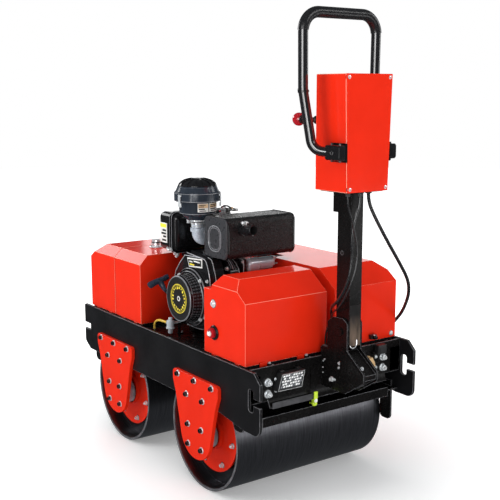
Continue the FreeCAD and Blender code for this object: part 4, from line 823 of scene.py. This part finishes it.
def air_cleaner():
    part = Piece("cleaner")
    x, y, z = CLEANER_AT
    part.ring(CLEANER_AT, "z", [
        (30, 0), (36, 1), (38, 6), (44, 14), (51, 20), (55, 25), (57, 26), (58, 29), (63.5, 30.5), (65.5, 32),
        (66, 35), (66.5, 40), (69.5, 72), (71, 75), (81, 76.5), (84, 78), (85, 80), (85, 107), (84, 110),
        (80, 113), (75, 124), (73.5, 128), (72, 131.5), (69, 132.5),
    ], CLEANER, 64)
    # ledge rings in a lighter grey, a painted highlight
    for radius, low, high in ((66.6, 33, 35), (85.3, 79, 81), (85.3, 106.5, 108), (73.4, 127, 128.4)):
        ledge = [(radius - 1.5, low - 0.6), (radius, low), (radius, high), (radius - 1.5, high + 0.6)]
        part.ring(CLEANER_AT, "z", ledge, RIM_HIGHLIGHT, 64)
    part.ring(CLEANER_AT, "z", [
        (70, 131), (69, 135), (64, 141), (57, 146.5), (48, 151), (36, 154.8), (23, 157), (22, 159.5),
        (20, 161), (0, 161),
    ], GLOSS, 64)
    ribs = 14
    rib = [(70.4, 133), (66, 141.4), (58, 148.2), (48, 153.2), (36, 157), (24, 159)]
    for step in range(ribs):
        turn = math.radians(360 * step / ribs)
        line = [Vector(CLEANER_AT) + Vector((r * math.cos(turn), r * math.sin(turn), up)) for r, up in rib]
        part.pipe(line, 1.7, GLOSS, 8)
    part.block((x - 8, y - 4, z + 158), (x + 8, y + 4, z + 161), GLOSS, 1.5)
    for turn in (70, 190, 310):
        for span in ((60, 74), (98, 104)):
            part.wrap(CLEANER_AT, "z", 85.5, (turn - 5, turn + 5), span, ZINC, 2.5, 4)
        part.wrap(CLEANER_AT, "z", 88, (turn - 3.5, turn + 3.5), (68, 102), ZINC, 1.5, 4)
    # two blank plates with plain marks
    for first, last in ((238, 271), (275, 318)):
        part.wrap(CLEANER_AT, "z", 67.5, (first, last), (42, 73), WHITE, 3.2, 8)
        part.wrap(CLEANER_AT, "z", 70.9, (first + 1.5, last - 1.5), (57, 71), BEIGE, 0.3, 6)
        for low, high, near, far in ((66, 69, 4, 9), (60, 63, 3, 14), (51, 55, 3, 12), (45, 48, 5, 8)):
            part.wrap(CLEANER_AT, "z", 71.1, (first + near, last - far), (low, high), PRINT_AND_SHADE, 0.3, 6)
    part.ring(CLEANER_AT, "z", [(36, 2), (41, 4), (41, 9), (37, 11)], ZINC, 48)
    part.block((x - 48, y - 14, z - 1), (x - 34, y - 2, z + 10), CHROME, 2)
    part.bolt((x - 46, y - 12, z + 4), "-x", 9)
    part.make("chassis", "cleaner_plastic", ["air_cleaner"], sharp=24)


def intake_elbow():
    part = Piece("intake")
    x, y, z = CLEANER_AT
    reach = 30
    turns = [math.radians(9 * step) for step in range(11)]
    bend = [(x + reach * (1 - math.cos(turn)), y, 887 - reach * math.sin(turn)) for turn in turns]
    part.pipe([(x, y, z - 1)] + bend + [(-146, y, 857)], 22, ELBOW, 36)
    part.ring((x, y, 888), "z", [(22, 0), (27, 1), (27, 13), (22, 14)], ELBOW, 40)
    part.ring((x, y, 914), "z", [(22, 0), (25, 1), (25, 9), (22, 10)], ZINC, 40)
    part.ring((x, y, 906), "z", [(22, 0), (24, 0.5), (24, 4), (22, 4.5)], ZINC, 40)
    part.slab(rounded((-12, 829), (64, 889), 12), "x", -150, 6, ELBOW, 2)
    for bolt_y, bolt_z in ((-4, 837), (56, 837), (-4, 881), (56, 881)):
        part.bolt((-150, bolt_y, bolt_z), "-x", 8)
    for turn in (200, 320):
        part.bolt(around((x, y, 898), "z", 26, 1, turn)[0], "z", 6, washer=False)
    part.make("chassis", "bare_aluminium", ["intake_elbow"])


def fuel_tank():
    part = Piece("tank")
    part.block((-235, 135, 796), (25, 257, 942), GLOSS, 22, 8)
    for y_from in (151, 159):
        part.slab(swapped(rounded((-240, 790), (30, 948), 24, 7)), "y", y_from, 5, GLOSS, 1.4)
    # edges of the flange as thin rings of painted highlight
    for y in (150.8, 164.2):
        edge = [(x, y, z) for x, z in rounded((-239.4, 790.6), (29.4, 947.4), 24, 7)]
        part.rim(edge, 1.0, RIM_HIGHLIGHT)
    part.ring((-150, 172, 940), "z", [(34, 0), (34, 4), (30, 6)], GLOSS, 48)
    part.turned((-150, 172, 944), "z", [(31, 0), (31, 14, 16), (27, 19), (18, 20), (0, 21)], GLOSS, 64)
    # blank plate with plain bars
    part.block((-237.2, 190, 826), (-234, 240, 902), WHITE, 1)
    part.block((-237.6, 193, 884), (-237, 237, 898), YELLOW, 0.2)
    for row, long in ((832, 30), (846, 22), (858, 34), (870, 26)):
        part.block((-237.6, 195, row), (-237, 195 + long, row + 7), PRINT_AND_SHADE, 0.2)
    # outlet, its nuts and the tap below
    part.turned((-190, 190, 796), "-z", [(12, 0), (12, 6), (7, 7), (7, 22), (5, 24), (0, 24)], ZINC, 24)
    part.turned((-238, 158, 806), "-x", [(8, 0), (8, 5, 6), (5, 6), (5, 14), (3, 16), (0, 16)], CHROME, 24)
    for x, y, z in ((-232, 140, 792), (-232, 128, 784)):
        part.bolt((x, y, z), "-x", 9, CHROME)
    for x in (-158, 12):
        part.bolt((x, 128, 782), "-y", 10)
    part.bolt((-236, 186, 806), "-x", 9)
    part.make("chassis", "engine_black", ["fuel_tank"])


def muffler():
    part = Piece("silencer")
    body = rounded((-187, 811), (-44, 957), 22, 7)
    cap = rounded((-188.5, 809.5), (-42.5, 958.5), 23.5, 7)
    part.slab(body, "x", -206, 285, HAMMERED, 1)
    part.slab(cap, "x", -214, 7, GLOSS, 1.5)
    part.slab(cap, "x", 75, 5, GLOSS, 1.5)
    part.slab(body, "x", -211, -9, FACE, 5, 4)
    part.slab(body, "x", 79, 6, FACE, 4, 4)
    # raised oval beads on the cap, lighter grey as a painted highlight
    for reach_y, reach_z, out in ((40, 45, 2.4), (32, 38, 1.5)):
        ring = rounded((-reach_y, -reach_z), (reach_y, reach_z), reach_y - 7, 9)
        line = [(-219.4, -113 + y, 880 + z) for y, z in ring]
        part.rim(line, out, RIM_HIGHLIGHT)
    # exhaust stub with its clamp
    root, aim = (-153, -186, 912), (0.10, -0.987, 0.12)
    part.turned(root, aim, [(18, -8), (18, 62), (17.4, 62.6), (16, 62), (16, 10), (0, 10)], GLOSS, 40)
    # black lining inside the stub, a painted shade
    part.ring(root, aim, [(15.9, 61), (15.9, 11), (0, 11)], PRINT_AND_SHADE, 40)
    part.ring(root, aim, [(18, 10), (20.4, 10.4), (20.4, 19.6), (18, 20)], GLOSS, 40)
    clamp = Vector(root) + Vector(aim) * 15 + Vector((0, 0, 21))
    for x in (-8, 2):
        part.block(clamp + Vector((x, -5, -3)), clamp + Vector((x + 3, 5, 13)), CHROME, 1)
    part.bolt(clamp + Vector((-8, 0, 7)), "-x", 9, CHROME)
    part.turned(clamp + Vector((5, 0, 7)), "x", [(3, 0), (3, 9), (0, 9.5)], CHROME, 16)
    part.block((-100, -43, 832), (-30, -35, 898), CAST, 3)
    for x, z in ((-92, 842), (-38, 842), (-92, 888), (-38, 888)):
        part.turned((x, -45, z), "y", [(6, 0, 6), (6, 6, 6)], ZINC, 24)
    part.make("chassis", "engine_black", ["muffler"])


def starter():
    part = Piece("starter")
    bell = (-92, -125, 773)
    end_bell = [(0, -2), (6, -2), (7, 0), (18, 0), (22, 2), (24.5, 6), (24.8, 44), (24, 47), (22.4, 48)]
    part.ring(bell, "x", end_bell, STEEL, 56)
    part.ring(bell, "x", [(22.4, 48), (22.4, 104), (21, 110), (14, 115), (0, 116)], STEEL, 56)
    for start, out in ((12, 25.2), (44, 25.2), (50, 23.4), (100, 23.2)):
        bead = [(out - 1, start - 0.4), (out, start), (out, start + 2), (out - 1, start + 2.4)]
        part.ring(bell, "x", bead, ZINC, 56)
    for spot in around(bell, "x", 17, 2, 50):
        part.bolt(spot, "-x", 6, CHROME, washer=False)
    # terminals at its far end, with the cable they feed
    for spot, out in (((30, -132, 792), 5), ((40, -122, 782), 4.5), ((34, -134, 768), 4)):
        part.turned(spot, "x", [(out, 0), (out, 6, 6), (out * 0.6, 7), (out * 0.6, 14), (0, 15)], CHROME, 20)
    part.block((24, -136, 762), (32, -112, 796), ZINC, 2)
    part.pipe([(46, -126, 782), (58, -124, 780), (66, -116, 770), (66, -104, 752)], 3.2, SHEATH, 10)
    part.pipe([(-76, -128, 801), (-60, -132, 808), (-30, -130, 806), (0, -124, 800)], 2.6, SHEATH, 10)
    part.block((-98, -128, 796), (-78, -112, 806), CHROME, 2)
    # bracket plate with a painted highlight along its edge, and thin bars of painted highlight on the
    # housing's round edges beside it
    part.block((-112, -138, 742), (-98, -104, 797), GLOSS, 2)
    part.bolt((-112, -134, 788), "-x", 9, CHROME)
    edge_highlight_grey = [(-138.4, 746), (-138.4, 793), (-132, 797.4), (-108, 797.4)]
    part.pipe([(-112, y, z) for y, z in edge_highlight_grey], 1.2, EDGE, 8)
    part.block((-86, -135, 700), (-50, -92, 758), CAST, 6)
    for x, shift, finish in ((-125, 0, EDGE), (-138, 4, RIM_HIGHLIGHT), (-146, 6, EDGE), (-154, 8, RIM_HIGHLIGHT)):
        line = [(-83 + shift, 794 + shift), (-108 + shift, 781 + shift), (-124 + shift, 765 + shift),
                (-130 + shift, 751 + shift), (-132 + shift, 730 + shift), (-128 + shift, 706)]
        part.pipe([(x, y, z) for y, z in line], 1.5, finish, 8)
    housing = [(-60, 800), (-84, 792), (-108, 779), (-123, 763), (-129, 749), (-131, 729), (-126, 704),
               (-60, 704)]
    part.slab(housing, "x", -160, 34, GLOSS, 3, 3)
    part.bolt((-160, -104, 764), "-x", 13, CHROME)
    part.make("chassis", "starter_steel", ["starter_motor"])


def fuel_filter():
    part = Piece("sediment_bowl")
    axis = (-295, 75)
    part.turned((*axis, 506), "z", [(0, 0), (7, 0), (9, 2), (9.5, 14), (9.5, 19), (12, 20)], BOWL, 40)
    part.turned((*axis, 525), "z", [(16, 0), (17, 1), (17, 4), (14.4, 5), (14.4, 28), (14.8, 29), (13.6, 31),
                                    (8, 31.5), (7.6, 33), (7.6, 40), (6, 42), (0, 43)], BOWL, 40)
    part.turned((-300, 76, 545), "y", [(5, 0), (5, 8), (6.4, 9, 6), (6.4, 13, 6), (5, 16)], CHROME, 24)
    part.block((-292, 68, 542), (-252, 82, 548), ZINC, 1.5)
    part.block((-260, 69, 500), (-254, 81, 548), BLACK, 1.5)
    part.block((-262, 66, 500), (-240, 84, 503), BLACK, 1)
    part.bolt((-245, 75, 503), "z", 9)
    for spot in around((*axis, 556), "z", 11.5, 3, 30):
        part.bolt(spot, "z", 4, kind="pan", washer=False)
    part.make("chassis", "bare_aluminium", ["fuel_filter"])


for build in (engine_block, fan_shroud, recoil, air_cleaner, intake_elbow, fuel_tank, muffler, starter,
              fuel_filter):
    build()

# ---- Drums, brackets and frame ----


def bracket_bolts(place, sign, outward, middle):
    part = Piece(f"{place}_bracket_bolts")
    rows = ((405, (-109, 0, 109)), (344, (-52, 52)), (237, (-43, 43)), (164, (-43, 43)))
    for offset, z in [(offset, z) for z, offsets in rows for offset in offsets]:
        at = (sign * BRACKET_X, middle + offset, z)
        part.turned(at, outward, [(11.5, -1), (11.5, 2.2), (10.5, 3.2), (9, 3.4)], CHROME, 28)
        part.bolt(at, outward, 18, GLOSS, "socket", washer=False)
        part.ring(at, outward, [(8.4, 9.6), (8.2, 10.9), (7.4, 11.5), (5.4, 11.4)], BOLT_BLACK, 28)
    part.make("chassis", "frame_black")


def hub(place, sign, inward, middle):
    part = Piece(f"{place}_hub")
    at = (sign * HUB_X, middle, 198)
    grooved = [(57, 0), (57, 10), (55, 13), (50, 15), (47, 17), (47, 24), (45, 25.5), (45, 29), (47, 30.5),
               (47, 40), (45, 41.5), (45, 45), (47, 46.5), (47, 51), (44, 54), (24, 54)]
    part.ring(at, inward, grooved, HUB, 56)
    # the bore darkened as painted shade
    part.ring(at, inward, [(17, 40), (24, 44), (24, 53)], PRINT_AND_SHADE, 40)
    for spot in around((sign * 334, middle, 198), "x", 51, 6, 15):
        part.bolt(spot, inward, 9, washer=False)
    part.make("chassis", "hub_black", [f"{place}_hub_motor"])


def disc_detail(place, sign, outward, middle, first, drum):
    part = Piece(f"{place}_disc_detail")
    at = (sign * DISC_X, middle, AXLE_Z)
    part.ring(at, outward, [(61, -0.5), (61, 10), (62, 11.8), (64, 12), (65.5, 11), (67.5, -0.2)], RED, 64)
    part.ring(at, outward, [(69, -0.2), (69.2, 0.8), (100, 0.8), (104, -0.2)], RED, 64)
    for spot in around(at, "x", 128, 7, first):
        part.bolt(spot, outward, 15, CHROME)
        part.turned(spot, outward, [(4.5, 8), (4.5, 12.5), (3.8, 13.2), (0, 13.2)], ZINC, 16)
    part.make(drum, "red_paint")


def drum_rims(drum, middle):
    part = Piece(f"{drum}_rims")
    for _, sign, outward in SIDES:
        at = (sign * DRUM_RIM_X, middle, AXLE_Z)
        # a lighter grey ring at each end of the drum, a painted highlight on its edge
        rim = [(199.8, -4), (200.2, -0.4), (201, 0.25), (208.6, 0.25), (209.6, -0.6)]
        part.ring(at, outward, rim, DRUM_EDGE_HIGHLIGHT, 160)
    part.make(drum, "drum_steel")


for end, middle, first in DRUMS:
    drum_rims(f"{end}_drum", middle)
    for side, sign, outward in SIDES:
        inward = {"x": "-x", "-x": "x"}[outward]
        bracket_bolts(f"{end}_{side}", sign, outward, middle)
        hub(f"{end}_{side}", sign, inward, middle)
        disc_detail(f"{end}_{side}", sign, outward, middle, first, f"{end}_drum")


def frame_bolts():
    part = Piece("frame_bolts")
    for sign, inward, x in ((-1, "x", -262), (1, "-x", 252)):
        # large bolt pairs that hold the rear and front cross plates to their corner angles
        for z in (417, 456):
            part.bolt((x, REAR_PLATE_Y - 0.4, z), "-y", 21)
            part.turned((x, -498, z), "-y", [(6, 0), (6, 7), (5, 8), (0, 8)], CHROME, 20)
            part.bolt((x - sign * 34, REAR_PLATE_Y - 0.4, z + 6), "-y", 10)
            part.bolt((sign * 262, 645, z), "y", 21)
        # scraper hangers
        for y in (-430, 582):
            part.bolt((sign * 330.6, y, 306), inward, 13, BOLT_BLACK if sign > 0 else CHROME)
        # angles between the cross plates and the side plates
        low, high = sorted((sign * 290, sign * 337))
        part.block((low, -485, 396), (high, -477, 484), BLACK, 1)
    # grey band along the left of the rear lip, a painted sheen
    part.slab([(388, -253), (388, -74), (367, -74), (367, -253)], "y", -501.4, 2, GREY_SHEEN, 0.6)
    part.make("chassis", "frame_black")


def rear_fittings():
    part = Piece("rear_fittings")
    # cheek plates outside the handle's bracket, with their bolts
    cheek = [(-583, 404), (-605, 407), (-696, 464), (-694.5, 487), (-600, 557), (-583, 560)]
    for _, sign, outward in SIDES:
        part.slab(cheek, "x", 33 if sign > 0 else -37, 4, BLACK, 1.2)
        for y, z, width in ((-580, 504, 10), (-576, 488, 7), (-541, 440, 14), (-556, 441, 7), (-502, 500, 5),
                            (-496, 493, 4), (-494, 470, 4), (-494, 452, 4)):
            part.bolt((sign * 33, y, z), outward, width)
        # holes in the cheeks as shallow black discs of painted shade
        for y, z in ((-632, 484), (-641, 443)):
            hole = [(7.5, -0.5), (7.5, 0.5), (5, 0.5), (5, -3), (0, -3)]
            part.turned((sign * 37, y, z), outward, hole, PRINT_AND_SHADE, 24)
        part.block((sign * 33 - 2, -516, 404), (sign * 33 + 2, -508, 480), BLACK, 1.5)
    # bolt of the sloped lid between the cheeks
    part.bolt((-16, -668, 503), (0, -0.57, 0.82), 10)
    # on the right of the rear plate: bolt, brass union and its pipe, rod in two clips, relay boxes, plug
    part.bolt((159, REAR_PLATE_Y - 0.4, 470), "-y", 15, CHROME)
    union = [(11, 0, 6), (11, 8, 6), (7, 9), (7, 15), (9.5, 16, 6), (9.5, 24, 6)]
    part.turned((178, REAR_PLATE_Y, 462), "-y", union, BRASS, 24)
    part.pipe([(178, -500, 462), (190, -503, 452), (196, -502, 436)], 6, BRASS, 12)
    part.pipe([(203, -493, 382), (203, -493, 484)], 3.4, BLACK, 12)
    for z in (390, 476):
        part.block((197, -497, z), (209, -485, z + 8), BLACK, 1.5)
    part.block((211, -508, 474), (252, -486, 508), LAMP, 3)
    part.block((217, -510, 480), (246, -506, 502), LAMP, 1.5)
    part.block((204, -478, 524), (232, -463, 540), LAMP, 2)
    part.turned((218, -478, 532), "-y", [(9, 0, 6), (9, 6, 6), (6, 8), (6, 12), (0, 13)], GLOSS, 24)
    part.turned((212, -484, 540), "z", [(3.4, 0), (3.4, 3), (0, 4)], CHROME, 16)
    # strip left of the cheeks
    part.block((-82, -489, 402), (-76, -485, 470), BLACK, 1.2)
    part.make("chassis", "frame_black")


def work_light():
    part = Piece("lamp")
    outer = [(-243, 426), (-139, 425), (-125, 485), (-224, 484)]
    part.slab(swapped(outer), "y", -513, 28, LAMP, 3)
    front = [(-240, 429), (-142, 428), (-130, 482), (-223, 481.5)]
    part.slab(swapped(front), "y", -514.4, 3, LAMP, 0.8)
    line = [(x, -514.6, z) for x, z in front]
    part.rim(line, 1.1, CHROME)
    inner = [(-236, 434), (-147, 433), (-137, 480), (-221, 479.5)]
    part.slab(swapped(inner), "y", -514.7, 3, LENS, 0.5)
    # staggered rows of reflector cells of uneven size, white as a painted reflection, some in the darker
    # highlight grey
    for row in range(5):
        z = 436.5 + row * 8.8
        shift = (z - 436) * 0.31 + (row % 2) * 5
        for column in range(8):
            x = -232 + shift + column * 10.4
            if x > -148 + (z - 436) * 0.24:
                continue
            wide = (9.4, 8.2, 9.0)[(row * 2 + column) % 3]
            tall = (7.6, 6.4, 7.2)[(row + column) % 3]
            part.slab([(z, x), (z, x + wide), (z + tall, x + wide + 2), (z + tall, x + 2)], "y", -515.2, 3,
                      CELL_REFLECTION if (row + 2 * column) % 5 else RIM_HIGHLIGHT, 1.4, 2)
    for x in (-219, -150):
        part.block((x, -500, 483), (x + 16, -486, 491), LAMP, 2)
    part.make("chassis", "lamp_housing", ["work_light"])


def battery_switch():
    part = Piece("isolator")
    at = (-COVER_X, -283, 592)
    part.turned(at, "-x", [(25, 0), (25, 4), (22, 7), (18, 8)], GLOSS, 40)
    key = [(18, 7), (18, 9), (14, 10), (13, 12), (17, 13.5, 12), (17, 18, 12), (13, 20), (9, 20)]
    part.turned(at, "-x", key, KNOB, 48)
    part.turned(at, "-x", [(8.5, 19), (9.5, 20), (9.5, 24), (7, 26), (0, 26.5)], WHITE, 28)
    part.block((-361, -286, 582), (-353, -280, 602), KNOB, 1.5)
    part.make("chassis", "switch_red", ["battery_switch"])


def water_tap():
    part = Piece("tap")
    nut = [(9, 0, 6), (9, 6, 6), (7, 7), (7, 13), (9, 14, 6), (9, 20, 6), (6, 22), (6, 24)]
    part.turned((-76, REAR_PLATE_Y, 352), "-y", nut, GREEN, 24)
    part.pipe([(-76, -496, 352), (-76, -496, 366)], 4, GREEN, 16)
    lever = [(374, -68), (393, -68), (396, -70), (396, -82), (393, -84), (374, -84), (366, -82), (366, -70)]
    part.slab(lever, "y", -511, 5, GREEN, 1.6, 3)
    part.block((-82, -509, 360), (-71, -492, 368), GREEN, 1.5)
    part.turned((-76, -509, 364), "-y", [(7, 0), (7, 2), (4, 3), (0, 3.4)], WHITE, 24)
    part.block((-84, -493, 344), (-68, -487, 370), BLACK, 1)
    part.make("chassis", "tap_green", ["water_tap"])


for build in (frame_bolts, rear_fittings, work_light, battery_switch, water_tap):
    build()

# ---- Covers ----


def seal_strip(part, x_from, x_to, y_from, y_to):
    """A black rubber strip round the foot of a cover."""
    wide = 8
    for low, high in (
        ((x_from, y_from), (x_to, y_from + wide)), ((x_from, y_to - wide), (x_to, y_to)),
        ((x_from, y_from + wide), (x_from + wide, y_to - wide)),
        ((x_to - wide, y_from + wide), (x_to, y_to - wide)),
    ):
        part.block((*low, SEAL_Z[0]), (*high, SEAL_Z[1]), RUBBER, 1.5)


def cover_trim():
    part = Piece("cover_trim")
    seal_strip(part, -SEAL_X, 1, -456, -226)
    seal_strip(part, 49, SEAL_X, -456, -110)
    for low, high in (((SEAL_X - 8, -98), (SEAL_X, 90)), ((106, 82), (SEAL_X - 8, 90))):
        part.block((*low, SEAL_Z[0]), (*high, SEAL_Z[1]), RUBBER, 1.5)
    for y_from, y_to in ((441, 640), (232, 430)):
        seal_strip(part, -SEAL_X, SEAL_X, y_from, y_to)
    # red tabs and their isolators behind the rear left cover
    for x in (-279, -122):
        part.block((x, -466, 501), (x + 30, -461.5, 521), RED, 1.5)
        part.block((x + 34, -470, 501), (x + 46, -458, 513), RUBBER, 2)
        part.bolt((x + 40, -464, 512), "z", 9)
        part.bolt((x + 56, -464, 500.5), "z", 8)
    # screws in the covers
    part.bolt((-COVER_X, -277, 691), "-x", 21, kind="pan")
    along = [(COVER_X, y, 532, "x") for y in (-440, -130, 70, 250, 410, 620)]
    for *at, axis in ((315, -462, 529, "-y"), (64, -462, 529, "-y"), *along, (-300, 646, 532, "y"),
                      (300, 646, 532, "y"), (-240, -220, 560, "y"), (-40, -220, 560, "y")):
        part.bolt(at, axis, 13, CHROME, "pan")
    # rubber strip between the water tank and the front cover, sunk below their faces, tinted dark red-brown
    # as painted shade of the groove
    part.block((-333, 430, 518), (333, 438, 742), SEAM_SHADE, 1)
    part.block((-300, 430, 736), (300, 438, 778), SEAM_SHADE, 1)
    # catches on the front cover and a grille on its front face
    for x in (-180, 180):
        part.block((x - 16, 645, 560), (x + 16, 653, 606), LAMP, 2.5)
        part.block((x - 9, 650, 568), (x + 9, 658, 598), CHROME, 2)
    for step in range(6):
        z = 632 + step * 13
        part.slab([(z, -120), (z, 120), (z + 7, 120), (z + 7, -120)], "y", 643.5, 4, RUBBER, 1)
    part.make("chassis", "red_paint")


def water_cap():
    part = Piece("filler")
    at = (-178, 373, 780)
    part.turned(at, "z", [(29, 0), (29, 3), (27.5, 4.5), (24, 5), (23, 8), (21, 9)], CHROME, 44)
    cap = [(18, 8.5), (20, 10, 12), (20, 17, 12), (18.5, 18.5), (17, 19), (17, 21), (19.4, 22, 16),
           (19.4, 29, 16), (18, 31), (12, 32.5), (10, 34.5), (0, 35)]
    part.turned(at, "z", cap, CHROME, 64)
    for spot in around((-178, 373, 784.5), "z", 25.6, 3, 30):
        part.bolt(spot, "z", 5, kind="pan", washer=False)
    part.block((-202, 369, 780), (-154, 377, 789), PRINT_AND_SHADE, 2)
    # a black band over the cap's groove, a painted shade
    part.turned(at, "z", [(20, 19), (20.4, 19.4), (20.4, 21.6), (20, 22)], PRINT_AND_SHADE, 44)
    part.pipe([(-201, 370, 786), (-206, 360, 783), (-200, 350, 782.4), (-190, 346, 782)], 1.4, ZINC, 8)
    part.make("chassis", "bright_chrome", ["water_cap"])


for build in (cover_trim, water_cap):
    build()

# ---- Handle ----


def loop_grip():
    """The foam sleeve on the handle's top bar and bends, and the collars on its legs."""
    part = Piece("grip_sleeve")
    source = bmesh.new()
    source.from_mesh(nodes["handle_loop"].data)
    bmesh.ops.remove_doubles(source, verts=source.verts, dist=MERGE_GAP)
    source.normal_update()
    # lowest and highest z, thickness and finish of each sleeve
    sleeves = ((1584, 2000, 1.9, GRIP), (1392, 1400, 2.2, GRIP), (1372, 1380, 1.2, CHROME))
    for low, high, out, finish in sleeves:
        kept = [face for face in source.faces if low <= face.calc_center_median().z / MM <= high]
        numbers = {}
        for face in kept:
            for vertex in face.verts:
                numbers.setdefault(vertex, len(numbers))
        points = [vertex.co / MM + vertex.normal * out for vertex in numbers]
        faces = [[numbers[vertex] for vertex in face.verts] for face in kept]
        part.add(points, faces, finish)
    source.free()
    part.make("handle", "frame_black", sharp=60)


def control_lever():
    part = Piece("lever")
    at = (-70, -509, 1304)
    part.turned(at, "y", [(22, 0), (22, 3), (20, 5), (14, 6)], BLACK, 40)
    part.turned(at, "y", [(14, 5), (16, 9), (12, 12), (15, 16), (11, 20), (13, 24), (9, 28), (8, 30), (8, 84),
                          (11, 86), (15, 88), (15, 93), (12, 95)], RUBBER, 32)
    turns = [math.radians(turn) for turn in range(24, 180, 12)]
    ball = [(22 * math.sin(turn), 112 - 22 * math.cos(turn)) for turn in turns]
    part.turned(at, "y", [(9, 91)] + ball + [(0, 134)], KNOB, 48)
    for spot in around(at, "y", 17, 4, 45):
        part.bolt(Vector(spot) + Vector((0, 4, 0)), "y", 5, kind="pan", washer=False)
    part.make("handle", "knob_red", ["control_lever"])


def handle_detail():
    part = Piece("handle_detail")
    # lid screws
    for x, z in ((-76, 1092), (76, 1092), (-86, 1438), (86, 1438)):
        part.bolt((x, -657, z), "-y", 15, CHROME, "pan")
    # bolts on the loop's mounts, and plates that clamp the tube
    for _, sign, outward in SIDES:
        for y in (-646, -608):
            for z, axis in ((1182.4, "-z"), (1229.6, "z")):
                part.bolt((sign * 106, y, z), axis, 9, BOLT_BLACK)
        part.bolt((sign * 122, -626, 1206), outward, 9, BOLT_BLACK)
        part.block((sign * 92 - 2, -663, 1176), (sign * 92 + 2, -588, 1236), BLACK, 1.2)
    # gland plate and glands under the box
    part.block((-78, -648, 1077.5), (78, -520, 1081.5), BLACK, 1.2)
    for x, y, radius in ((66, -594, 11), (-58, -632, 8), (-6, -633, 10)):
        gland = [(radius, 0, 6), (radius, 7, 6), (radius + 1.5, 8), (radius + 1.5, 11)]
        part.turned((x, y, GLAND_Z), "z", gland, LAMP, 24)
    # worn face, wire loop and side hole of the post; the hole is a black disc of painted shade in a ring of
    # painted highlight
    part.block((-23, -614.6, 566), (23, -613.4, 704), WORN_STEEL, 0.3)
    wire = [(-22, -614, 570), (-18, -616, 563), (-10, -617, 560), (0, -617, 562), (7, -616, 572),
            (8, -614, 586)]
    part.pipe(wire, 1.6, CHROME, 8)
    part.ring((-25.4, -573, 875), "-x", [(6.4, -0.2), (6.4, 0.3), (0, 0.3)], PRINT_AND_SHADE, 28)
    part.ring((-25.4, -573, 875), "-x", [(7.4, -0.2), (7.4, 0.5), (6.4, 0.5)], BLACK_EDGE_HIGHLIGHT, 28)
    part.make("handle", "frame_black")


for build in (loop_grip, control_lever, handle_detail):
    build()

# ---- Floor ----

floor = Piece("floor")
floor.ring((0, 0, -2), "z", [(0, 0), (FLOOR_RADIUS, 0), (FLOOR_RADIUS, 1), (0, 1.8)], FLOOR, 64)
floor_object = floor.make(None)
floor_object.visible_glossy = False
